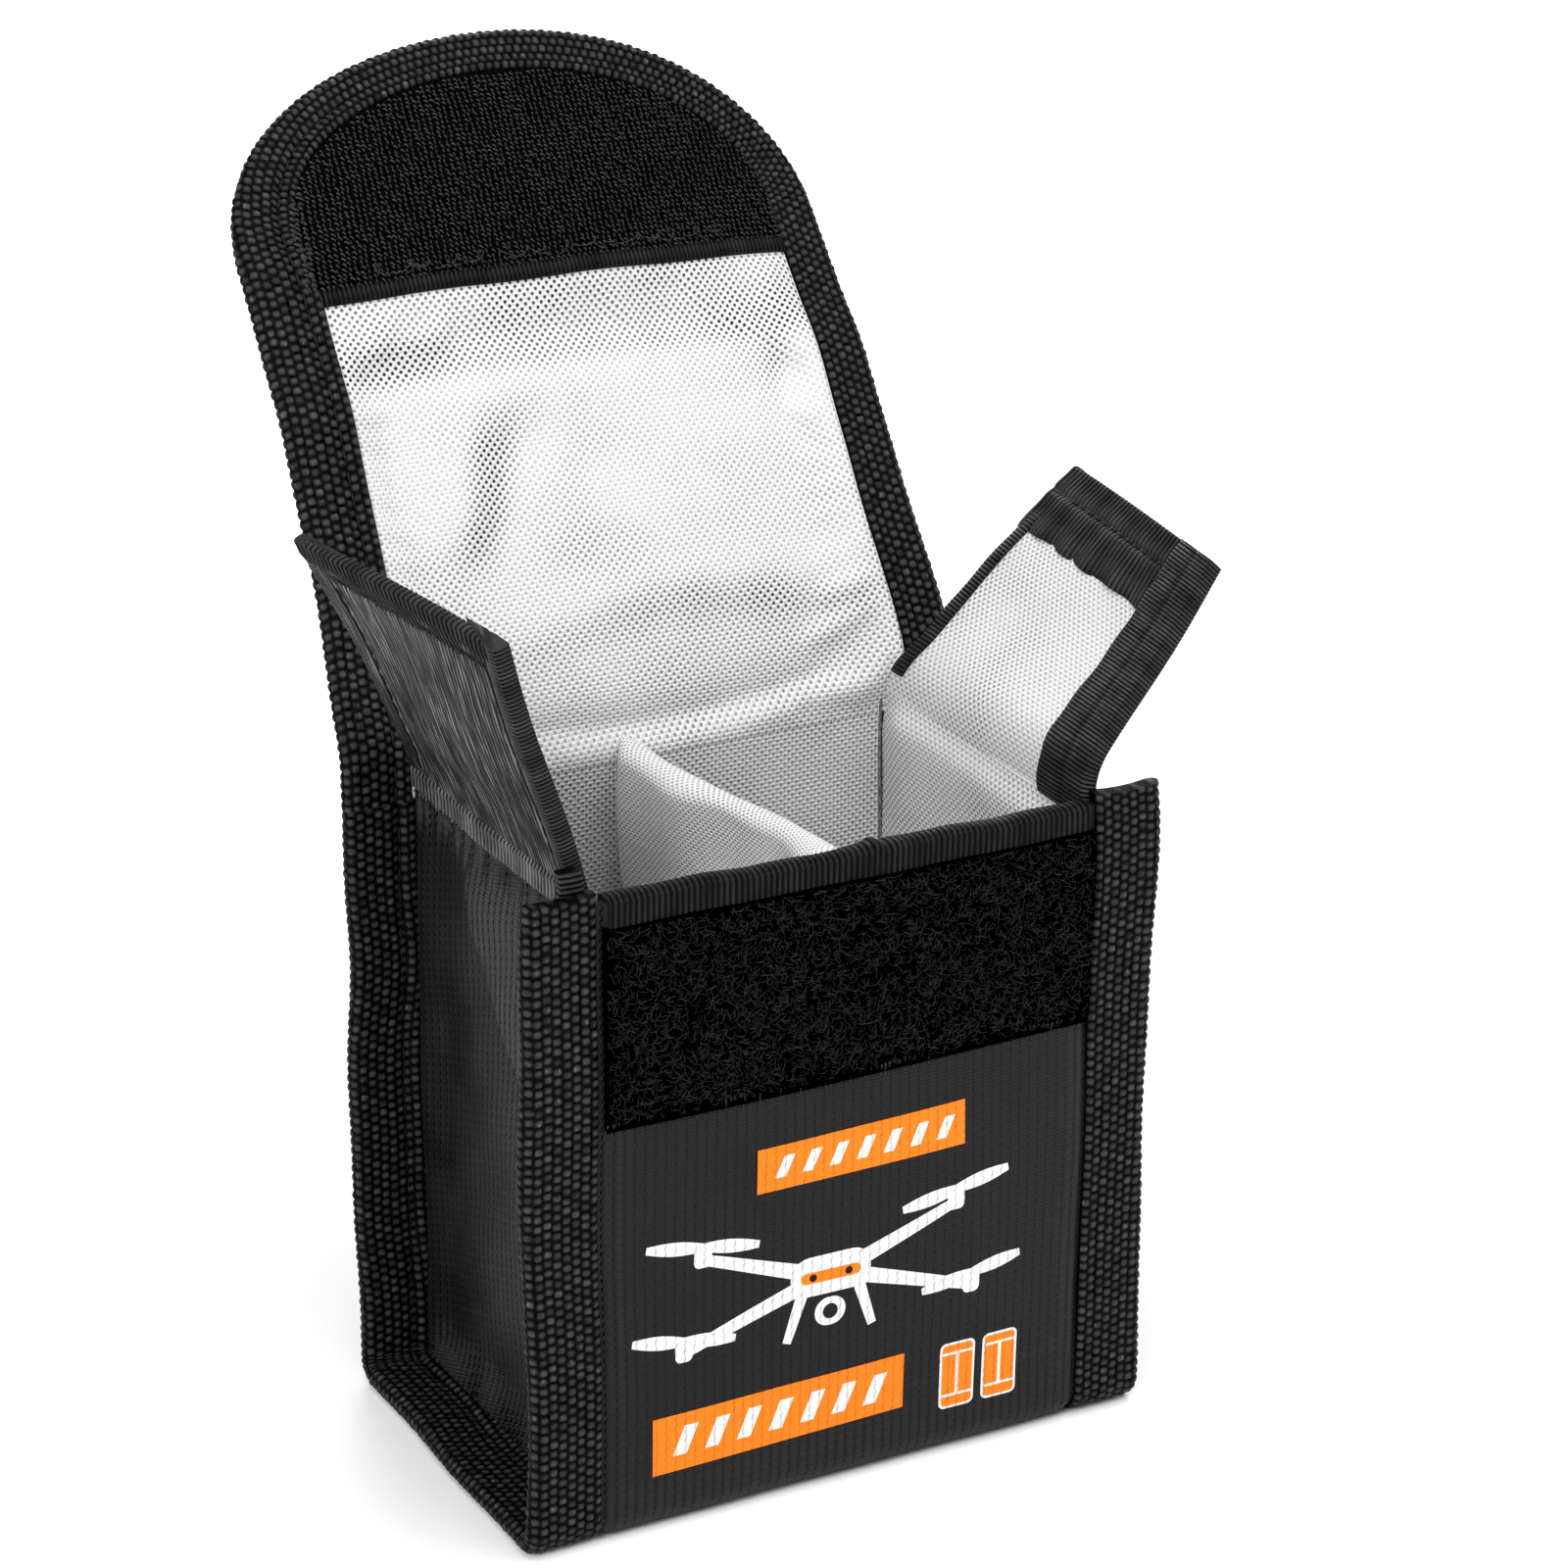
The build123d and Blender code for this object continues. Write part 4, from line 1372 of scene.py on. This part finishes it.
def side_flap(side):
    """One flap: a root, the flap's two cloths, ribbed hems and stitching."""
    shape = flaps[side]
    body = f"{side}_side_flap"
    length = shape["length"]
    half = flap_half - 0.4

    def place(p, q, lift):
        return on_flap(side, p, q, lift)

    def painted_sheen(q, p):
        """Painted sheen on the silver coat: an even level with slow waves."""
        return 0.5 + 0.25 * ripple(q, p, 71)

    def wavy(q, p):
        """The cloth's slow waves, which die out at its edges and its root."""
        inside = smooth(np.minimum(half - np.abs(p), length - q), 3, 12)
        return 0.3 * ripple(q, p, 51 + shape["sign"]) * smooth(q, 3, 12) * inside

    def hemmed(q, p):
        """The outer cloth is puffed over the folded hem and pulled down along its stitches."""
        distance = np.minimum(half - np.abs(p), length - q)
        puffed = 0.22 * np.sin(pi * np.clip(distance / flap_seam, 0, 1)) * smooth(q, 2, 8)
        return wavy(q, p) + puffed - 0.4 * hump(distance - flap_seam, 0.5) * smooth(q, 4, 8)

    made = []
    for layer, lifts, finish, slot, relief, shine in (
        ("cloth", (0.5, 0.05), flap_finish, "outer_cloth", hemmed, None),
        ("glass", (-0.05, -0.5), lining_finish, "lining_cloth", wavy, painted_sheen),
    ):
        columns = steps(-half, half, 0.45)
        root_rows, rows = steps(-1.6, flap_root, 0.45), steps(flap_root, length - 0.3, 0.45)
        made_of = (lifts, finish, relief, shine)
        root = cloth_on(f"{side}_flap_root_{layer}", place, root_rows, columns, *made_of)
        main = cloth_on(f"{side}_flap_{layer}", place, rows, columns, *made_of)
        flap_blend(root)
        node = "panel" if layer == "cloth" else "lining"
        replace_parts(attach(main, body), f"{side}_flap_{node}")
        crumple(main)
        made += [root, main]

    edge = flap_half
    thin, wide = (3.2 if side == "right" else 10.6), 10.6
    hems = {
        "back": (np.array([(edge, flap_root), (edge, length)]), (-1.0, 0.0), thin),
        "front": (np.array([(-edge, flap_root), (-edge, length)]), (1.0, 0.0), wide),
        "top": (np.array([(0.8 - edge, length), (edge, length)]), (0.0, -1.0), 12.4),
    }
    for line, (path, inward, leg) in hems.items():
        extra = {"top": 0.0, "front": 0.5, "back": 0.0}[line]
        lifts = (0.66 + extra, -0.8 - extra)
        legs = (2.1 if line == "top" else 1.6, leg)
        hem = ribbon(f"{side}_flap_{line}_hem", place, path, np.array(inward), legs, lifts, line == "top")
        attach(hem, body)
        made.append(crumple(hem))
        if line == "top":
            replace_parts(hem, f"{side}_flap_hem")
    for line, sign, leg in (("back", 1, thin), ("front", -1, wide)):
        path = np.array([(sign * edge, 3.6 if sign > 0 else 0.4), (sign * edge, flap_root)])
        inward = np.array((-float(sign), 0.0))
        root_lifts = (0.66, -0.8) if sign > 0 else (1.16, -1.3)
        stub = ribbon(f"{side}_flap_{line}_root_hem", place, path, inward, (1.6, leg), root_lifts, False)
        flap_blend(stub)
        made.append(stub)

    q = steps(flap_root + 1, length - flap_seam, 1.0)
    p = steps(-edge + flap_seam, edge - flap_seam, 1.0)
    lines = []
    for side_lift, top_lift in ((0.55, 0.55), (-0.85, -1.1)):
        for sign in (-1, 1):
            if sign < 0 or side_lift > 0 or thin > flap_seam:
                lines.append(place(sign * (edge - flap_seam), q, side_lift))
        lines.append(place(p, length - flap_seam, top_lift))
    thread = stitches(f"{side}_flap_stitches", lines, body, length=1.9, gap=0.7, radius=0.17)
    made.append(crumple(thread))
    made.append(root_tape(side, place, edge))
    return made


def root_tape(side, place, edge):
    """Narrow ribbed tape along the fold where the flap leaves the bag."""
    rows, columns = steps(-0.9, 3.6, 0.3), steps(-edge + 0.5, edge - 0.5, 0.16)
    q, p = sheet_grid(rows, columns)
    sag = 0.8 * np.cos(p / edge * pi / 2)
    edges = smooth(np.minimum(q - rows[0], rows[-1] - q), -0.1, 0.8)
    cord = cords(p, 0.98) * edges
    top = place(p, q - sag, 0.45 + 0.3 * edges + 0.28 * cord + 0.1 * np.sin(p / 2.9))
    bottom = place(p, q - sag, 0.3)
    cloth = np.stack([p * 0.755, q], axis=-1)
    piece = slab(f"{side}_root_tape", top, bottom, cloth, painted_highlight_ribbon_finish, cord)
    flap_blend(piece)
    return piece


# ---------------------------------------------------------------------------
# Print on the front panel
# ---------------------------------------------------------------------------


def polygon(*corners):
    """Outline with these corners."""
    return np.array(corners, float)


def disc(x, z, radius):
    """Round outline about its middle."""
    angle = np.arange(28) * tau / 28
    return np.stack([x + radius * np.cos(angle), z + radius * np.sin(angle)], axis=1)


def bar(start, end, width_from, width_to=None):
    """Tapered bar between two points."""
    start, end = np.array(start, float), np.array(end, float)
    width_to = width_from if width_to is None else width_to
    side = unit(np.array([start[1] - end[1], end[0] - start[0]]))
    first, last = side * width_from / 2, side * width_to / 2
    return np.array([start + first, start - first, end - last, end + last])


def blade(x, z, angle, reach, width):
    """Half a propeller: a rounded lens from its hub."""
    t = np.linspace(0, 1, 12)
    half = width / 2 * (0.35 + 0.65 * np.sin(pi * (0.12 + 0.8 * t)))
    line = np.concatenate([np.stack([reach * t, half], 1), np.stack([reach * t[::-1], -half[::-1]], 1)])
    turn = np.array([(cos(angle), sin(angle)), (-sin(angle), cos(angle))])
    return line @ turn + [x, z]


def rounded_box(x, z, width, height, radius):
    """Box with round corners, about its middle."""
    corners = []
    reach, rise = width / 2 - radius, height / 2 - radius
    for cx, cz, start in ((1, 1, 0), (-1, 1, pi / 2), (-1, -1, pi), (1, -1, 3 * pi / 2)):
        angle = start + np.linspace(0, pi / 2, 6)
        round_x, round_z = radius * np.cos(angle), radius * np.sin(angle)
        corners.append(np.stack([x + cx * reach + round_x, z + cz * rise + round_z], axis=1))
    return np.concatenate(corners)


def ink(name, outlines, material, lift):
    """Flat shapes printed on the front panel, cut small enough to follow its cloth."""
    shapes = bmesh.new()
    for outline in outlines:
        shapes.faces.new([shapes.verts.new((x, 0, z)) for x, z in outline])
    bmesh.ops.triangulate(shapes, faces=shapes.faces[:], ngon_method="EAR_CLIP")
    across, upwards = Vector((1, 0, 0)), Vector((0, 0, 1))
    for direction, values in ((across, np.arange(-38, 39, 2.0)), (upwards, np.arange(4, 66, 2.0))):
        for value in values:
            geometry = shapes.verts[:] + shapes.edges[:] + shapes.faces[:]
            cut = dict(plane_co=direction * value, plane_no=direction, dist=1e-5)
            bmesh.ops.bisect_plane(shapes, geom=geometry, **cut)
    bmesh.ops.triangulate(shapes, faces=shapes.faces[:])
    shapes.verts.index_update()
    flat = np.array([(v.co.x, v.co.z) for v in shapes.verts])
    faces = np.array([[v.index for v in f.verts] for f in shapes.faces])
    border = [edge.link_loops[0] for edge in shapes.edges if len(edge.link_faces) == 1]
    rim_edges = [(loop.vert.index, loop.link_loop_next.vert.index) for loop in border]
    shapes.free()
    u = rim - flat[:, 1]
    top = on_strip(flat[:, 0], u, panel_relief(u, flat[:, 0]) - lift)
    under = on_strip(flat[:, 0], u, panel_relief(u, flat[:, 0]) + 0.1)
    count = len(flat)
    a, b = np.array(rim_edges).T
    quads = np.stack([b, a, a + count, b + count], axis=1)
    triangles = np.concatenate([faces, faces[:, ::-1] + count])
    cloth = np.stack([np.tile(u, 2), np.tile(flat[:, 0], 2)], axis=1)
    piece = make_mesh(name, np.concatenate([top, under]), quads, triangles, cloth, None, material, sharp=40)
    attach(piece, "bag")
    return piece


def drone_shapes():
    """A plain picture of a four-rotor drone, of no make, the same on its left and its right."""
    cx, cz = -3.2, 35.0
    white = [rounded_box(cx, cz + 0.6, 13.0, 6.4, 3.0), rounded_box(cx, cz - 5.6, 5.0, 4.6, 2.2)]
    for side in (-1, 1):
        for x, z, reach in ((20.5, 7.4, 9.0), (23.5, -7.0, 8.4)):
            root = (cx + side * 5, cz + (1.8 if z > 0 else -0.8))
            white.append(bar(root, (cx + side * x, cz + z), 2.5, 1.7))
            white.append(rounded_box(cx + side * x, cz + z + 0.4, 2.8, 3.4, 0.9))
            for turn in (0, pi):
                white.append(blade(cx + side * x, cz + z + 2.0, turn + side * 0.16, reach, 2.2))
        white.append(bar((cx + side * 4.6, cz - 2), (cx + side * 7.0, cz - 9.4), 1.9, 1.4))
    orange = [rounded_box(cx, cz + 0.4, 9.6, 1.8, 0.85)]
    dark = [disc(cx, cz - 5.6, 1.2), disc(cx - 2.9, cz + 0.4, 0.6), disc(cx + 2.9, cz + 0.4, 0.6)]
    return white, orange, dark


def front_print():
    """Orange bars, the drone picture and two battery pictures, with no words."""
    bars = [
        polygon((-15.4, 51.0), (18.7, 51.3), (18.7, 58.3), (-15.4, 58.0)),
        polygon((-31.8, 9.4), (9.5, 10.0), (9.5, 19.0), (-31.8, 18.6)),
    ]
    ink("print_bars", bars, orange_ink, 0.05)
    hatch = []
    for x in np.arange(-12.6, 15.8, 4.4):
        hatch.append(polygon((x, 53.0), (x + 1.7, 53.0), (x + 3.2, 56.3), (x + 1.5, 56.3)))
    for x in np.arange(-28.6, 5.2, 5.2):
        hatch.append(polygon((x, 12.0), (x + 2.2, 12.0), (x + 4.1, 16.6), (x + 1.9, 16.6)))
    ink("print_hatching", hatch, white_ink, 0.09)
    white, orange, dark = drone_shapes()
    ink("print_drone", white, white_ink, 0.05)
    ink("print_drone_band", orange, orange_ink, 0.09)
    ink("print_drone_lenses", dark, dark_ink, 0.12)
    outlines, cells, lines = [], [], []
    for x in (18.6, 25.8):
        outlines.append(rounded_box(x, 13.2, 5.9, 11.0, 1.0))
        cells.append(rounded_box(x, 13.2, 5.1, 10.2, 0.7))
        lines += [bar((x - 2.5, 9.9), (x + 2.5, 9.9), 0.4), bar((x - 2.5, 16.9), (x + 2.5, 16.9), 0.4)]
        lines.append(bar((x, 9.9), (x, 16.9), 0.5))
    ink("print_battery_edges", outlines, white_ink, 0.05)
    ink("print_batteries", cells, orange_ink, 0.09)
    ink("print_battery_lines", lines, white_ink, 0.12)


# ---------------------------------------------------------------------------
# Building it
# ---------------------------------------------------------------------------

strip, strip_lining = body_cloth()
gusset_pieces = gussets()
bindings = body_bindings()
corner_seams()
hem_tab()
rim_tape = rim_hem()
loop_pieces = loop_tape()
divider()
lid_parts = lid_cloths()
lid_tape_pieces = lid_tapes()
hook_pieces = hook_patch()
flap_pieces = {side: side_flap(side) for side in flaps}
front_print()


# ---------------------------------------------------------------------------
# Floor, light and camera
# ---------------------------------------------------------------------------


def studio():
    """Plain pale floor, a soft key light from the left front, and fill all round."""
    finish = Finish("studio_floor", Specular_IOR_Level=0.2)
    finish.finish(finish.mix(finish.noise(0.4), (0.86, 0.86, 0.86, 1), (0.9, 0.9, 0.9, 1)), 0.0, 0.01, 0.8)
    radius = 4.0
    floor = bpy.data.objects.new("floor", bpy.data.meshes.new("floor"))
    corners = [(radius * x, radius * y, 0) for x, y in ((-1, -1), (1, -1), (1, 1), (-1, 1))]
    floor.data.from_pydata(corners, [], [(0, 1, 2, 3)])
    floor.data.materials.append(finish.material)
    scene = bpy.context.scene
    scene.collection.objects.link(floor)

    world = bpy.data.worlds.new("studio")
    world.use_nodes = True
    background = world.node_tree.nodes["Background"].inputs
    background["Color"].default_value = (1, 1, 1, 1)
    background["Strength"].default_value = 0.46
    scene.world = world
    lamps = (
        ("key", (-0.8, -0.7, 0.9), 0.5, 9.0),
        ("fill", (1.0, -0.5, 0.5), 0.6, 2.5),
        ("back", (0.5, 1.2, 0.7), 0.7, 7.0),
    )
    sun = bpy.data.lights.new("top", "SUN")
    sun.energy, sun.angle = 1.5, radians(50)
    sky = bpy.data.objects.new("top", sun)
    sky.rotation_euler = (radians(12), radians(8), 0)
    scene.collection.objects.link(sky)
    aim = Vector((0, 0, 0.09))
    for name, place, size, power in lamps:
        lamp = bpy.data.lights.new(name, "AREA")
        lamp.shape = "DISK"
        lamp.size = size
        lamp.energy = power
        light = bpy.data.objects.new(name, lamp)
        light.location = place
        light.rotation_euler = (aim - Vector(place)).to_track_quat("-Z", "Y").to_euler()
        scene.collection.objects.link(light)
    scene.view_settings.view_transform = "Standard"
    scene.view_settings.look = "Medium High Contrast"


def add_camera():
    """Camera at the front left, above the rim, looking down on the open bag."""
    azimuth, elevation, roll = radians(-28.64), radians(22.08), radians(0.47)
    back = Vector((sin(azimuth) * cos(elevation), -cos(azimuth) * cos(elevation), sin(elevation)))
    right = Vector((0, 0, 1)).cross(back).normalized()
    up = back.cross(right)
    turned_right = cos(roll) * right + sin(roll) * up
    turned_up = cos(roll) * up - sin(roll) * right
    data = bpy.data.cameras.new("camera")
    data.sensor_width = 36.0
    data.lens = 110.29
    data.clip_start, data.clip_end = 0.05, 20
    camera = bpy.data.objects.new("camera", data)
    camera.matrix_world = Matrix((turned_right, turned_up, back)).transposed().to_4x4()
    camera.location = Vector((-303.6, -566.5, 360.1)) * MM
    bpy.context.scene.collection.objects.link(camera)
    bpy.context.scene.camera = camera


studio()
add_camera()
